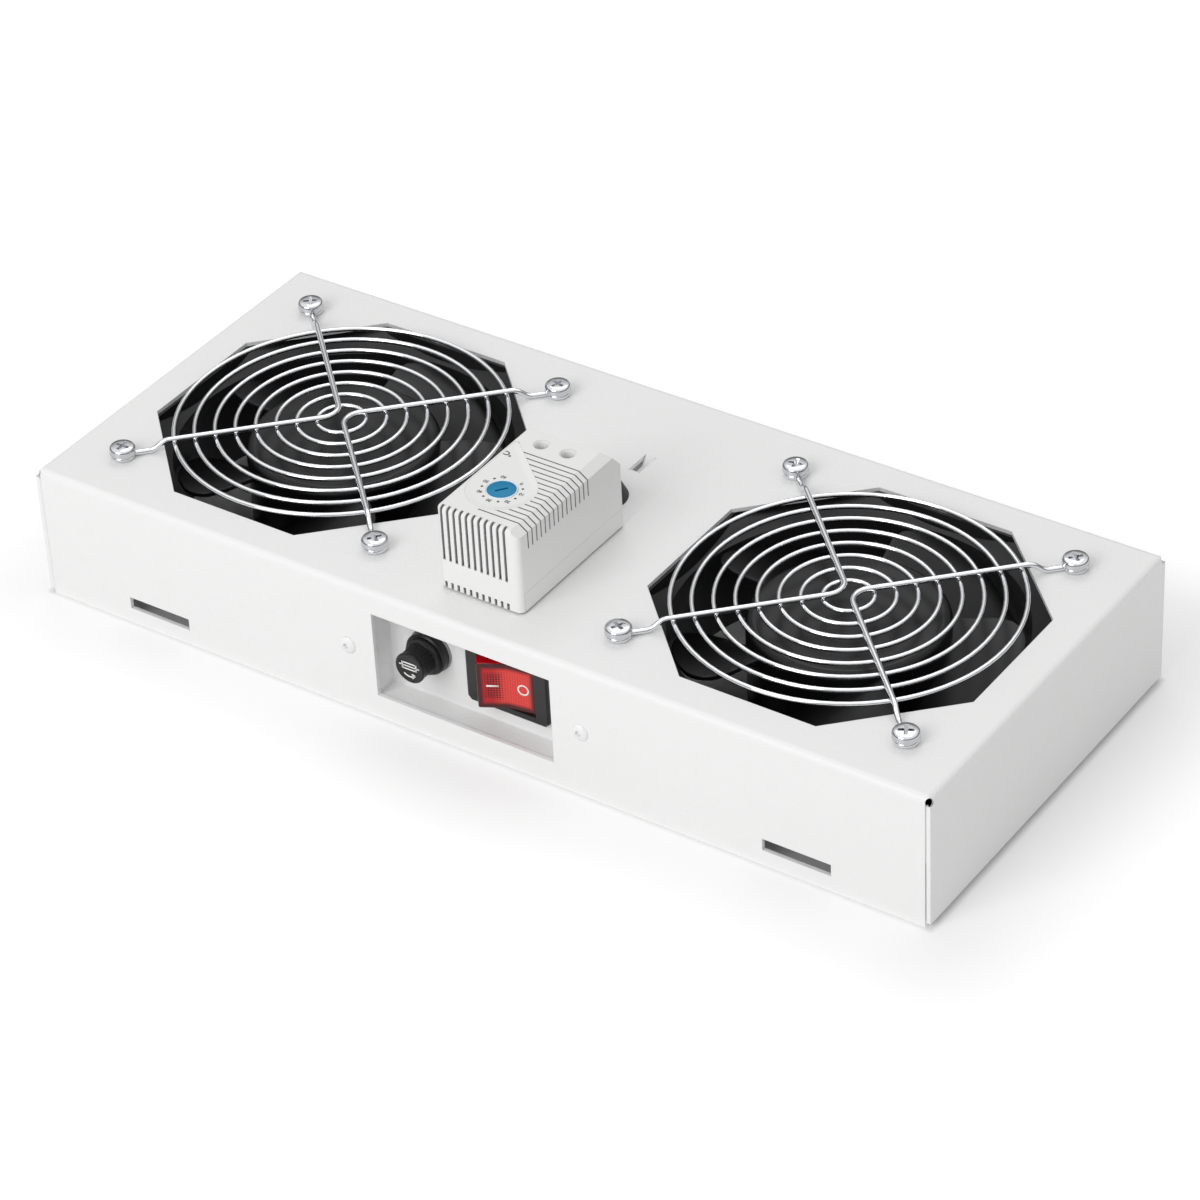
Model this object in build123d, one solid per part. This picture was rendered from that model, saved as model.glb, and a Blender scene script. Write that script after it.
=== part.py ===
from build123d import *
import os
from math import atan, cos, degrees, hypot, radians, sin, sqrt, tan

# A fan tray for the roof of a small rack. X runs along the long side, the front wall faces -Y,
# +Z is up. The origin lies under the middle of the tray, at the edge that it stands on.

# Clearances, all on one side of the gap
running_gap = 0.03             # a shaft turning in its bearings
seat_gap = 0.02                # fixed round pieces in their seats
slip_gap = 0.2                 # pieces that slide or turn past each other
touch_gap = 0.05               # flat faces that lie against each other across a joint

# Tray: one folded sheet, open below
tray_length = 347.0
tray_depth = 147.0
tray_height = 50.0
sheet = 1.5
bend_radius = 0.8              # inside the folds
side_wall_lift = 1.8           # the short walls stop this far above the long ones
corner_seam = 0.4              # open seam between neighbouring walls
corner_relief = 2.6            # diameter of the hole where two folds meet

# Windows in the long walls, which take the tongues of the cabinet
window_length = 25.0
window_height = 4.5
window_spacing = 251.0
window_z = 8.1

# Fans: standard 120 mm mains fans, 38 mm deep, hung under the plate
fan_spacing = 200.0
fan_size = 120.0
fan_depth = 38.0
fan_hole_inset = 7.5           # screw holes from the edges of the frame
fan_corner = 6.0
fan_flange = 4.5
fan_side_wall = 2.0            # between bore and frame at the middle of each side
fan_duct_wall = 1.4
fan_flat_wall = 0.9            # what the flare leaves of the frame at the middle of each side
flare_depth = 7.0
flare_reach = 14.0             # how much wider than the frame the flare is in the corners

# Motor carrier in the lower face of each fan
strut_count = 4
strut_width = 6.0
strut_height = 4.5
motor_base = 66.0
motor_base_floor = 2.0
motor_base_rim = 6.6
bearing_tube = 15.0
bearing_outer = 11.0
bearing_width = 4.0
bearing_shoulder = 2.0         # narrower stretch that each bearing rests against
shaft_diameter = 4.0

# Impeller
hub_diameter = 66.0
hub_wall = 1.8
hub_top_drop = 2.6             # top of the hub under the fan's upper face
hub_boss = 9.0
blade_count = 5
blade_sweep = 64.0             # degrees that one blade covers, seen from above
blade_rise = 23.0
blade_thickness = 1.6
blade_camber = 3.0
blade_corner = 9.0             # how far the side edges stop short of the tip
blade_side_reach = 21.0        # half width of the blade at its tip
blade_drop = 1.6               # top edge of the blades under the top of the hub
tip_gap = 1.3

# Motor inside the hub
rotor_wall = 3.0
rotor_height = 20.0
stator_gap = 0.5
stator_height = 11.0
pole_count = 4
pole_stem = 9.0
pole_slot = 7.0
coil_thickness = 4.0
clip_diameter = 7.0
clip_thickness = 0.6

# Finger guards
ring_count = 8
ring_first = 8.25              # mean radius
ring_edge = 1.45               # outermost ring inside the bore
ring_wire = 1.8
ring_sides = 12                # of the innermost ring; the outer ones have more
eyelet_sides = 10
arm_wire = 2.0
arm_rise = 3.2                 # arms over their own ends
arm_centre_bend = 6.5
arm_step_run = 3.5
arm_flat_run = 9.0
weld = 0.25                    # how far crossing wires sink into each other

# Screws and nuts of the fans
screw_diameter = 4.0
screw_hole = 4.5
screw_head = 8.6
screw_head_height = 2.6
screw_length = 16.0
recess_cross = 4.6
recess_blade = 0.9
recess_depth_in_head = 1.6
nut_flats = 7.0
nut_height = 3.2

# Recess for the controls: a box of thinner sheet, riveted behind the front wall
recess_width = 69.4
recess_height = 32.6
recess_z = 25.3
recess_depth = 10.3            # from the face of the front wall to the panel
recess_sheet = 1.0
recess_reveal = 0.6            # how far the box stands back from the edge of the opening
recess_ear = 16.0
rivet_spacing = 91.0
rivet_hole = 3.2
rivet_head = 6.5
rivet_head_height = 1.1
rivet_tail = 4.6
rivet_tail_height = 3.0
rivet_core = 1.8

# Fuse holder and its cap
fuse_x = -19.2
fuse_z = 26.9
fuse_collar = 15.2
fuse_collar_height = 3.2
fuse_barrel = 12.0
fuse_barrel_length = 25.0
fuse_washer = 16.0
fuse_washer_thickness = 0.8
fuse_nut = 18.0
fuse_nut_height = 4.0
cap_diameter = 11.2
cap_height = 8.4
cap_rim = 1.2
cap_flange = 13.4
cap_flange_height = 1.4
cap_teeth = 28
cap_tooth_depth = 0.45
carrier_diameter = 9.0
carrier_length = 11.0
fuse_diameter = 5.2
fuse_length = 20.0
fuse_end = 5.0
fuse_glass_diameter = 4.8
fuse_glass_wall = 0.6
terminal_width = 4.8
terminal_thickness = 0.8
terminal_reach = 8.0

# Rocker switch, on its side: the rocker tips about a vertical axis
switch_x = 11.6
switch_z = 26.7
bezel_length = 32.0
bezel_height = 25.5
bezel_thickness = 2.2
bezel_corner = 1.6
switch_cutout_length = 30.0
switch_cutout_height = 22.0
switch_body_depth = 20.0
switch_wall = 2.0
rocker_radius = 10.8           # its ends are round about the pivot
rocker_height = 20.0
rocker_corner = 25.0           # degrees from the mid plane up to either front edge
rocker_face = 10.0             # slope of each half of the hollow face
rocker_tilt = 18.0             # either way from the middle
rocker_valley = 8.0            # radius where the two halves meet
rocker_pin = 3.0
rocker_pin_length = 0.6
pivot_depth = 2.5              # pivot behind the face of the bezel
rocker_gap = 0.25
spade_width = 6.3
spade_thickness = 0.8
spade_reach = 10.0

# Thermostat on the plate
thermo_x = -0.8
thermo_width = 31.8
thermo_length = 57.4
thermo_height = 31.6
thermo_front = 14.7            # its front behind the face of the front wall
thermo_wall = 1.8
thermo_seam = 7.5              # height of the joint between base and cover
thermo_foot_inset = 1.2
thermo_foot = 0.6
thermo_edge = 2.2              # radius of the front uprights
thermo_top_edge = 1.2
side_bevel_width = 3.2
side_bevel_height = 2.3
back_bevel_length = 6.3
back_bevel_height = 7.0
louvre_count = 11
louvre_pitch = 2.42
louvre_width = 1.0
louvre_first = 2.2             # from the left side
louvre_bottom = 11.4
louvre_wrap = 2.2              # how far the slots run on over the top
notch_height = 2.4
groove_count = 15
groove_pitch = 2.4
groove_width = 0.5
groove_depth = 0.5
groove_first = 5.4             # from the front
groove_side = 8.5              # how far down the side they run
panel_radius = 11.7
panel_depth = 0.5
panel_tip = 1.0
panel_tip_x = -13.7
panel_tip_y = 42.0             # from the front of the thermostat
dial_x = -2.9
dial_y = 18.3                  # from the front of the thermostat
dial_diameter = 10.4
dial_height = 3.0
dial_slot = 0.9
spindle_diameter = 4.0
access_hole = 5.4
access_x = -1.1
access_spacing = 10.3
access_y = 45.4                # from the front of the thermostat
base_floor = 3.0               # inner floor of the base over the plate
mechanism_drop = 9.0           # deck of the inner frame under the roof of the cover
deck_thickness = 2.0
deck_length = 22.0
deck_width = 12.0
deck_post = 4.0
bush_height = 3.0
bush_wall = 2.0
bimetal_gap = 0.8
bimetal_thickness = 0.6
bimetal_length = 24.0
bimetal_width = 5.0
bimetal_foot = 5.0
bimetal_foot_y = 28.3          # from the front of the thermostat
block_height = 11.0
block_depth = 11.0
block_width = 24.0
clamp_bore = 5.6
clamp_floor = 4.0
wire_hole = 4.2
base_screw = 3.0
base_screw_head = 5.6
base_screw_spacing = 26.0
base_screw_y = 21.5            # middle of the pair, from the front of the thermostat
base_screw_length = 7.0

# Grommet and cable-tie bridge behind the thermostat
grommet_x = -1.4
grommet_behind = 11.0          # its middle behind the thermostat
grommet_hole = 14.0
grommet_outer = 19.0
grommet_bore = 10.0
grommet_bead = 2.0
bridge_behind = 22.6           # its middle behind the grommet's
bridge_x = 0.3
bridge_length = 10.4
bridge_width = 4.2
bridge_drop = 3.0
bridge_side_gap = 0.25

# Places that follow from the sizes above
plate_top = tray_height
plate_under = tray_height - sheet
front_face = -tray_depth / 2
front_inside = front_face + sheet
panel_face = front_face + recess_depth
panel_back = panel_face + recess_sheet
fan_hole_spacing = fan_size - 2 * fan_hole_inset
fan_bore = fan_size - 2 * fan_side_wall
flare_corner = fan_size + flare_reach
octagon_flats = fan_size       # the opening in the plate shows the whole fan
screw_radius = fan_hole_spacing / sqrt(2)
ring_pitch = (fan_bore / 2 - ring_edge - ring_first) / (ring_count - 1)
tip_radius = fan_bore / 2 - tip_gap
hub_bottom = -fan_depth + motor_base_rim + 1.0
bearing_bottom = -fan_depth + motor_base_floor + 1.0
upper_bearing_top = -hub_top_drop - hub_wall - 5.0
arm_end_z = arm_wire / 2
arm_z = arm_end_z + arm_rise
ring_z = arm_z - arm_wire / 2 - ring_wire / 2 + weld
thermo_y = front_face + thermo_front
grommet_y = thermo_y + thermo_length + grommet_behind
bridge_y = grommet_y + bridge_behind
pivot_z = bezel_thickness - pivot_depth


def tube(outer, inner, length):
    """A ring standing on the origin."""
    ring = Circle(outer / 2) - Circle(inner / 2)
    return extrude(ring, length)


def rod(diameter, bottom, top):
    """A cylinder along Z between two heights."""
    return Pos(0, 0, bottom) * extrude(Circle(diameter / 2), top - bottom)


def slab(length, width, bottom, top):
    """A block centred on the Z axis between two heights."""
    return Pos(0, 0, bottom) * extrude(Rectangle(length, width), top - bottom)


def outline(*points):
    """A face from straight edges."""
    return make_face(Polyline(*points, close=True))


def facing_front(x, y, z):
    """Place for a piece that was drawn upright and points out of the front wall."""
    return Plane(origin=(x, y, z), x_dir=(1, 0, 0), z_dir=(0, -1, 0)).location


def group(solids):
    """Like pieces kept as one set."""
    return Compound(children=list(solids))


def fan_corners():
    """The four screw places of one fan."""
    return GridLocations(fan_hole_spacing, fan_hole_spacing, 2, 2)


# Tray and sheet metal


def bridge_strip():
    """The strip pressed down under the plate, for a cable tie to go round."""
    half = bridge_length / 2
    ramp = bridge_drop
    middle = plate_top - sheet / 2
    line = Polyline(
        (-half - sheet, middle),
        (-half, middle),
        (-half + ramp, middle - bridge_drop),
        (half - ramp, middle - bridge_drop),
        (half, middle),
        (half + sheet, middle),
    )
    profile = Plane.YZ * trace(line, sheet)
    strip = extrude(profile, bridge_width / 2 - bridge_side_gap, both=True)
    return Pos(bridge_x, bridge_y, 0) * strip


def tray_housing():
    """The folded tray with all that is punched out of it."""
    outer = slab(tray_length, tray_depth, 0, tray_height)
    outer = fillet(outer.edges().group_by(Axis.Z)[-1], bend_radius + sheet)
    inner = slab(tray_length - 2 * sheet, tray_depth - 2 * sheet, -sheet, plate_under)
    inner = fillet(inner.edges().group_by(Axis.Z)[-1], bend_radius)
    tray = outer - inner

    through_plate = sheet * 2
    octagon = RegularPolygon(octagon_flats / 2, 8, major_radius=False, rotation=22.5)
    for x in (-fan_spacing / 2, fan_spacing / 2):
        at_fan = Pos(x, 0, plate_under - sheet / 2)
        tray -= at_fan * extrude(octagon, through_plate)
        for corner in fan_corners():
            tray -= at_fan * corner * extrude(Circle(screw_hole / 2), through_plate)

    at_plate = Pos(0, 0, plate_under - sheet / 2)
    tray -= at_plate * Pos(grommet_x, grommet_y) * extrude(Circle(grommet_hole / 2), through_plate)
    for y in (-base_screw_spacing / 2, base_screw_spacing / 2):
        hole = Circle(base_screw / 2 + slip_gap)
        place = Pos(thermo_x, thermo_y + base_screw_y + y)
        tray -= at_plate * place * extrude(hole, through_plate)
    slot = Rectangle(bridge_width, bridge_length)
    tray -= at_plate * Pos(bridge_x, bridge_y) * extrude(slot, through_plate)
    tray += bridge_strip()

    window = Box(window_length, 3 * sheet, window_height)
    for x in (-window_spacing / 2, window_spacing / 2):
        for y in (front_face, -front_face):
            tray -= Pos(x, y, window_z) * window
    tray -= Pos(0, front_face, recess_z) * Box(recess_width, 3 * sheet, recess_height)
    for x in (-rivet_spacing / 2, rivet_spacing / 2):
        hole = extrude(Circle(rivet_hole / 2), 2 * sheet, both=True)
        tray -= facing_front(x, front_face, recess_z) * hole

    seam_top = plate_under - bend_radius
    for sx in (-1, 1):
        side = sx * (tray_length / 2 - sheet / 2)
        tray -= Pos(side, 0, 0) * Box(sheet + 2 * corner_seam, tray_depth, 2 * side_wall_lift)
        for sy in (-1, 1):
            seam_x = sx * (tray_length / 2 - sheet - corner_seam / 2)
            seam_y = sy * (tray_depth / 2 - sheet / 2)
            tray -= Pos(seam_x, seam_y, seam_top / 2) * Box(corner_seam, 2 * sheet, seam_top)
            relief_x = sx * (tray_length / 2 - sheet)
            relief_y = sy * (tray_depth / 2 - sheet)
            slant = Plane(origin=(relief_x, relief_y, seam_top), z_dir=(sx, sy, 1)).location
            tray -= slant * extrude(Circle(corner_relief / 2), 4 * sheet, both=True)
    return tray


def control_recess():
    """The riveted box that sets the fuse holder and the switch back from the front."""
    width = recess_width + 2 * recess_reveal
    height = recess_height + 2 * recess_reveal
    depth = panel_back - front_inside
    wall = 2 * recess_sheet
    centre = facing_front(0, panel_back, recess_z)
    shell = extrude(Rectangle(width + wall, height + wall), depth)
    shell = fillet(shell.edges().group_by(Axis.Z)[0], 2 * recess_sheet)
    hollow = Pos(0, 0, recess_sheet) * extrude(Rectangle(width, height), depth)
    hollow = fillet(hollow.edges().group_by(Axis.Z)[0], recess_sheet)
    ear_length = width + wall + 2 * recess_ear
    ears = Rectangle(ear_length, height - wall) - Rectangle(width, height)
    box = shell + Pos(0, 0, depth - recess_sheet) * extrude(ears, recess_sheet)
    box -= hollow
    for x in (-rivet_spacing / 2, rivet_spacing / 2):
        box -= Pos(x, 0, 0) * rod(rivet_hole, 0, depth)
    box -= Pos(fuse_x, fuse_z - recess_z, 0) * rod(fuse_barrel + 2 * slip_gap, -1, 2 * recess_sheet)
    cutout = Rectangle(switch_cutout_length, switch_cutout_height)
    box -= Pos(switch_x, switch_z - recess_z, -1) * extrude(cutout, 3 * recess_sheet)
    return centre * box


def recess_rivets():
    """Two blind rivets, domed outside, their mandrels broken off inside."""
    grip = sheet + recess_sheet
    shank = rivet_hole / 2 - seat_gap
    tail = -grip - rivet_tail_height
    profile = outline(
        (rivet_core / 2, rivet_head_height),
        (rivet_core / 2, tail),
        (rivet_tail / 2, tail),
        (rivet_tail / 2, -grip),
        (shank, -grip),
        (shank, 0),
        (rivet_head / 2, 0),
        (rivet_head / 3, rivet_head_height),
    )
    rivet = revolve(Plane.XZ * profile, Axis.Z)
    mandrel = rod(rivet_core - 2 * seat_gap, tail - 1, -grip / 2)
    rivet += mandrel
    places = (-rivet_spacing / 2, rivet_spacing / 2)
    return group(facing_front(x, front_face, recess_z) * rivet for x in places)


# Fans. Each piece is drawn with the fan's upper face at z = 0


def flare(wall, size):
    """The widening mouth of the duct, grown by a wall and cut off by a square."""
    cone = Cone(fan_bore / 2 + wall, flare_corner / 2 + wall, flare_depth)
    return Pos(0, 0, -flare_depth / 2) * cone & slab(size, size, -flare_depth, 0)


def fan_frame():
    """Cast frame: two flanges, the duct, four struts and the carrier of the motor."""
    square = RectangleRounded(fan_size, fan_size, fan_corner)
    for corner in fan_corners():
        square -= corner * Circle(screw_hole / 2)
    frame = Pos(0, 0, -fan_flange) * extrude(square, fan_flange)
    frame += Pos(0, 0, -fan_depth) * extrude(square, fan_flange)
    frame += rod(fan_bore + 2 * fan_duct_wall, -fan_depth, 0)
    frame += flare(fan_duct_wall, fan_size)
    frame -= rod(fan_bore, -fan_depth - 1, 1)
    frame -= flare(0, fan_size - 2 * fan_flat_wall)

    reach = fan_bore / 2 + fan_duct_wall / 2
    start = motor_base / 2 - hub_wall
    strut = Box(reach - start, strut_width, strut_height)
    strut = Pos((reach + start) / 2, 0, -fan_depth + strut_height / 2) * strut
    for turn in range(strut_count):
        frame += Rot(0, 0, (turn + 0.5) * 360 / strut_count) * strut

    base = rod(motor_base, -fan_depth, -fan_depth + motor_base_rim)
    base -= rod(motor_base - 2 * hub_wall, -fan_depth + motor_base_floor, 0)
    frame += base + rod(bearing_tube, -fan_depth, upper_bearing_top)

    seat = bearing_outer + 2 * seat_gap
    lower_top = bearing_bottom + bearing_width
    upper_bottom = upper_bearing_top - bearing_width
    frame -= rod(seat, -fan_depth - 1, lower_top)
    frame -= rod(seat, upper_bottom, 0)
    frame -= rod(bearing_outer - bearing_shoulder, lower_top - 1, upper_bottom + 1)
    return frame


def ball_bearings():
    """Two bearings, each as one plain ring."""
    ring = tube(bearing_outer, shaft_diameter + 2 * running_gap, bearing_width)
    lower = Pos(0, 0, bearing_bottom) * ring
    upper = Pos(0, 0, upper_bearing_top - bearing_width) * ring
    return group([lower, upper])


def motor_shaft():
    """Steel shaft with a groove for its clip."""
    bottom = bearing_bottom - clip_thickness - 1.2
    shaft = rod(shaft_diameter, bottom, -hub_top_drop - hub_wall)
    shaft = chamfer(shaft.edges().group_by(Axis.Z)[0], 0.3)
    groove = tube(shaft_diameter + 1, shaft_diameter - 1, clip_thickness)
    return shaft - Pos(0, 0, bearing_bottom - touch_gap - clip_thickness) * groove


def shaft_clip():
    """Open ring that holds the shaft down in the lower bearing."""
    ring = tube(clip_diameter, shaft_diameter - 1 + 2 * seat_gap, clip_thickness)
    ring -= Pos(clip_diameter / 2, 0, 0) * Box(clip_diameter, 2.2, 4 * clip_thickness)
    return Pos(0, 0, bearing_bottom - touch_gap - clip_thickness) * ring


def blade_section(radius, run):
    """Points round one upright strip across the blade, bowed in flats, at a given radius."""
    rise = blade_rise / 2
    lean = atan(2 * rise / run)
    length = hypot(run / 2, rise)
    bow = (-1, -0.5, 0, 0.5, 1)
    middle = [(t * length, blade_camber * (1 - t * t)) for t in bow]
    half = blade_thickness / 2
    loop = [(x, y + half) for x, y in middle] + [(x, y - half) for x, y in reversed(middle)]
    return [
        (radius, x * cos(lean) - y * sin(lean), x * sin(lean) + y * cos(lean))
        for x, y in loop
    ]


def skinned(inner, outer):
    """A solid between two loops of the same number of points, closed by flat triangles."""
    faces = [Face(Wire.make_polygon(inner)), Face(Wire.make_polygon(outer))]
    for n in range(len(inner)):
        corners = [inner[n - 1], inner[n], outer[n], outer[n - 1]]
        if n > len(inner) // 2:
            corners = [inner[n], inner[n - 1], outer[n - 1], outer[n]]
        first, second, third, fourth = corners
        faces.append(Face(Wire.make_polygon([first, second, third])))
        faces.append(Face(Wire.make_polygon([first, third, fourth])))
    return Solid(Shell(faces))


def blade():
    """One wide blade, its tip corners cut off."""
    half_sweep = radians(blade_sweep / 2)
    top = -hub_top_drop - blade_drop
    middle = top - blade_rise / 2 - blade_camber / 2
    inner = hub_diameter / 2 - hub_wall / 2
    radii = (inner - 2, tip_radius + 2)
    ends = [blade_section(r, 2 * r * tan(half_sweep)) for r in radii]

    reach = sqrt(tip_radius**2 - blade_side_reach**2)
    side = tip_radius - blade_corner
    inner_half = inner * sin(half_sweep)
    sector = outline(
        (inner, -inner_half),
        (side * cos(half_sweep), -side * sin(half_sweep)),
        (reach, -blade_side_reach),
        (tip_radius, 0),
        (reach, blade_side_reach),
        (side * cos(half_sweep), side * sin(half_sweep)),
        (inner, inner_half),
    )
    trim = extrude(sector, fan_depth, both=True)
    return Pos(0, 0, middle) * (skinned(*ends) & trim)


def impeller():
    """Hub cup and blades, moulded in one."""
    top = -hub_top_drop
    hub = rod(hub_diameter, hub_bottom, top)
    hub = chamfer(hub.edges().group_by(Axis.Z)[-1], 0.8)
    hub -= rod(hub_diameter - 2 * hub_wall, hub_bottom - 1, top - hub_wall)
    boss_bottom = upper_bearing_top + 0.3
    boss = tube(hub_boss, shaft_diameter + 2 * seat_gap, top - hub_wall - boss_bottom)
    hub += Pos(0, 0, boss_bottom) * boss
    one = blade()
    for turn in range(blade_count):
        hub += Rot(0, 0, turn * 360 / blade_count) * one
    return hub


def rotor_ring():
    """Steel ring of the rotor, pressed into the hub."""
    outer = hub_diameter - 2 * hub_wall - 2 * seat_gap
    ring = tube(outer, outer - 2 * rotor_wall, rotor_height)
    return Pos(0, 0, -hub_top_drop - hub_wall - rotor_height) * ring


def stator_middle():
    """Height of the middle of the stator, level with the rotor ring."""
    return -hub_top_drop - hub_wall - rotor_height / 2


def stator_radius():
    """Outer radius of the pole shoes."""
    return hub_diameter / 2 - hub_wall - seat_gap - rotor_wall - stator_gap


def stator_core():
    """Stack of laminations with four poles, on the bearing tube."""
    radius = stator_radius()
    shoe = 3.0
    ring = Circle(radius)
    window_outer = radius - shoe
    core = Circle(bearing_tube / 2 + 3.5)
    rim = ring - Circle(window_outer)
    for turn in range(pole_count):
        angle = turn * 360 / pole_count
        core += Rot(0, 0, angle) * Pos(window_outer / 2, 0) * Rectangle(window_outer + 1, pole_stem)
        gap = Rot(0, 0, angle + 180 / pole_count) * Pos(radius, 0) * Rectangle(4 * shoe, pole_slot)
        rim -= gap
    lamination = core + rim - Circle(bearing_tube / 2 + seat_gap)
    stack = extrude(lamination, stator_height)
    return Pos(0, 0, stator_middle() - stator_height / 2) * stack


def stator_coils():
    """Four windings, one round the stem of each pole, their corners cut off."""
    width = pole_stem + 2 * coil_thickness
    height = stator_height + 2 * coil_thickness
    wound = Rectangle(width, height)
    wound = chamfer(wound.vertices(), coil_thickness * 0.6)
    wound -= Rectangle(pole_stem + 2 * seat_gap, stator_height + 2 * seat_gap)
    inner = bearing_tube / 2 + coil_thickness * 1.6
    outer = sqrt((stator_radius() - 3.6)**2 - (width / 2)**2)
    radial = Plane(origin=(inner, 0, stator_middle()), x_dir=(0, 1, 0), z_dir=(1, 0, 0))
    coil = extrude(radial * wound, outer - inner)
    return group(Rot(0, 0, turn * 360 / pole_count) * coil for turn in range(pole_count))


# Finger guards and their screws. Drawn with the plate's upper face at z = 0


def wire_ring(radius, wire, z, sides):
    """A ring of wire from straight, square lengths, which keeps the many rings light."""
    ring = RegularPolygon(radius + wire / 2, sides) - RegularPolygon(radius - wire / 2, sides)
    return Pos(0, 0, z - wire / 2) * extrude(ring, wire)


def half_arm():
    """Straight part of an arm, from its round bend out along X and down to a screw."""
    end = screw_radius - eyelet_radius()
    foot = end - arm_flat_run + arm_wire
    step = foot - arm_step_run
    half = arm_wire / 2
    profile = outline(
        (arm_centre_bend - half, arm_z - half),
        (step - half, arm_z - half),
        (foot - half, 0),
        (end, 0),
        (end, arm_wire),
        (foot, arm_wire),
        (step, arm_z + half),
        (arm_centre_bend - half, arm_z + half),
    )
    return extrude(Plane.XZ * profile, half, both=True)


def guard_arm(turn):
    """One wire from screw to screw, bent round near the middle of the guard."""
    half = sqrt(0.5)
    near = arm_centre_bend * half
    inmost = arm_centre_bend * (sqrt(2) - 1)
    bend = ThreePointArc((near, -near), (inmost, 0), (near, near))
    arm = Pos(0, 0, arm_z - arm_wire / 2) * extrude(trace(bend, arm_wire), arm_wire)
    arm += Rot(0, 0, 45) * half_arm() + Rot(0, 0, -45) * half_arm()
    return Rot(0, 0, turn) * arm


def eyelet_radius():
    """Mean radius of the loop round each screw."""
    return screw_diameter / 2 + slip_gap + arm_wire / 2


def finger_guard():
    """Eight rings and two bent arms, welded, with a loop at each end of the arms."""
    guard = guard_arm(0) + guard_arm(180)
    for n in range(ring_count):
        sides = ring_sides + 4 * (n // 2)
        guard += wire_ring(ring_first + n * ring_pitch, ring_wire, ring_z, sides)
    for corner in fan_corners():
        guard += corner * wire_ring(eyelet_radius(), arm_wire, arm_end_z, eyelet_sides)
    return guard


def cross_recess(top):
    """The cross in the head of a screw, narrowing downwards."""
    bar = Rectangle(recess_cross, recess_blade) + Rectangle(recess_blade, recess_cross)
    return Pos(0, 0, top - recess_depth_in_head) * extrude(bar, recess_depth_in_head + 1)


def pan_head(diameter, height):
    """A low head with a sloping edge, standing on the origin."""
    head = extrude(Circle(diameter / 2), height)
    return chamfer(head.edges().group_by(Axis.Z)[-1], height * 0.4)


def guard_screws():
    """Four cross-head screws through guard, plate and frame."""
    head = pan_head(screw_head, screw_head_height) - cross_recess(screw_head_height)
    screw = Pos(0, 0, arm_wire) * head + rod(screw_diameter, arm_wire - screw_length, arm_wire)
    return group(corner * screw for corner in fan_corners())


def guard_nuts():
    """Four hexagon nuts under the upper flange of the fan."""
    nut = extrude(RegularPolygon(nut_flats / 2, 6, major_radius=False), nut_height)
    nut -= rod(screw_diameter + 2 * seat_gap, -1, nut_height + 1)
    under = -sheet - fan_flange - nut_height
    return group(corner * Pos(0, 0, under) * nut for corner in fan_corners())


# Fuse holder. Drawn upright with the face of its panel at z = 0


def fuse_front():
    """Height of the open end of the holder over its panel."""
    return fuse_washer_thickness + fuse_collar_height


def fuse_bottom():
    """Inner end of the fuse."""
    return fuse_front() + touch_gap - carrier_length + fuse_end - fuse_length


def at_fuse():
    """Place of the fuse holder in the recess."""
    return facing_front(fuse_x, panel_face, fuse_z)


def fuse_holder():
    """Moulded body with collar and barrel."""
    low = -fuse_barrel_length
    body = rod(fuse_collar, fuse_washer_thickness, fuse_front())
    body = chamfer(body.edges().group_by(Axis.Z)[-1], 0.5)
    body += rod(fuse_barrel, low, fuse_washer_thickness)
    body -= rod(carrier_diameter + 2 * slip_gap, fuse_front() - carrier_length - 1, fuse_front() + 1)
    body -= rod(fuse_diameter + 4 * slip_gap, fuse_bottom() - 1, fuse_front())
    return at_fuse() * body


def fuse_washer_ring():
    """Sealing washer between collar and panel."""
    ring = tube(fuse_washer, fuse_barrel + 2 * slip_gap, fuse_washer_thickness)
    return at_fuse() * ring


def fuse_holder_nut():
    """Round nut with flats behind the panel."""
    nut = Circle(fuse_nut / 2) & Rectangle(fuse_nut - 2, fuse_nut)
    nut = extrude(nut - Circle(fuse_barrel / 2 + seat_gap), fuse_nut_height)
    return at_fuse() * Pos(0, 0, -recess_sheet - fuse_nut_height) * nut


def fuse_contacts():
    """Tab at the end of the barrel and tab at its side."""
    low = -fuse_barrel_length
    end_tab = slab(terminal_width, terminal_thickness, low - terminal_reach, low)
    side_low = low + 4
    side = slab(terminal_thickness, terminal_width, side_low - terminal_reach, side_low + 5)
    side_tab = Pos(-fuse_barrel / 2 - terminal_thickness / 2 - seat_gap, 0, 0) * side
    return at_fuse() * group([end_tab, side_tab])


def fuse_cap():
    """Knurled cap with the sleeve that grips the fuse."""
    low = fuse_front() + touch_gap
    high = low + cap_height
    teeth = []
    for n in range(2 * cap_teeth):
        radius = cap_diameter / 2 - (n % 2) * cap_tooth_depth - 0.2
        angle = radians(n * 180 / cap_teeth)
        teeth.append((radius * cos(angle), radius * sin(angle)))
    cap = Pos(0, 0, low) * extrude(outline(*teeth), cap_height - cap_rim)
    cap += rod(cap_flange, low, low + cap_flange_height)
    rim = rod(cap_diameter, high - cap_rim, high)
    cap += chamfer(rim.edges().group_by(Axis.Z)[-1], 0.3)
    cap += rod(carrier_diameter, low - carrier_length, low)
    cap -= rod(fuse_diameter + 2 * seat_gap, low - carrier_length - 1, low - carrier_length + fuse_end)
    return at_fuse() * cap


def fuse_glass():
    """Glass tube of the fuse."""
    length = fuse_length - 2
    glass = tube(fuse_glass_diameter, fuse_glass_diameter - 2 * fuse_glass_wall, length)
    return at_fuse() * Pos(0, 0, fuse_bottom() + 1) * glass


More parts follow.
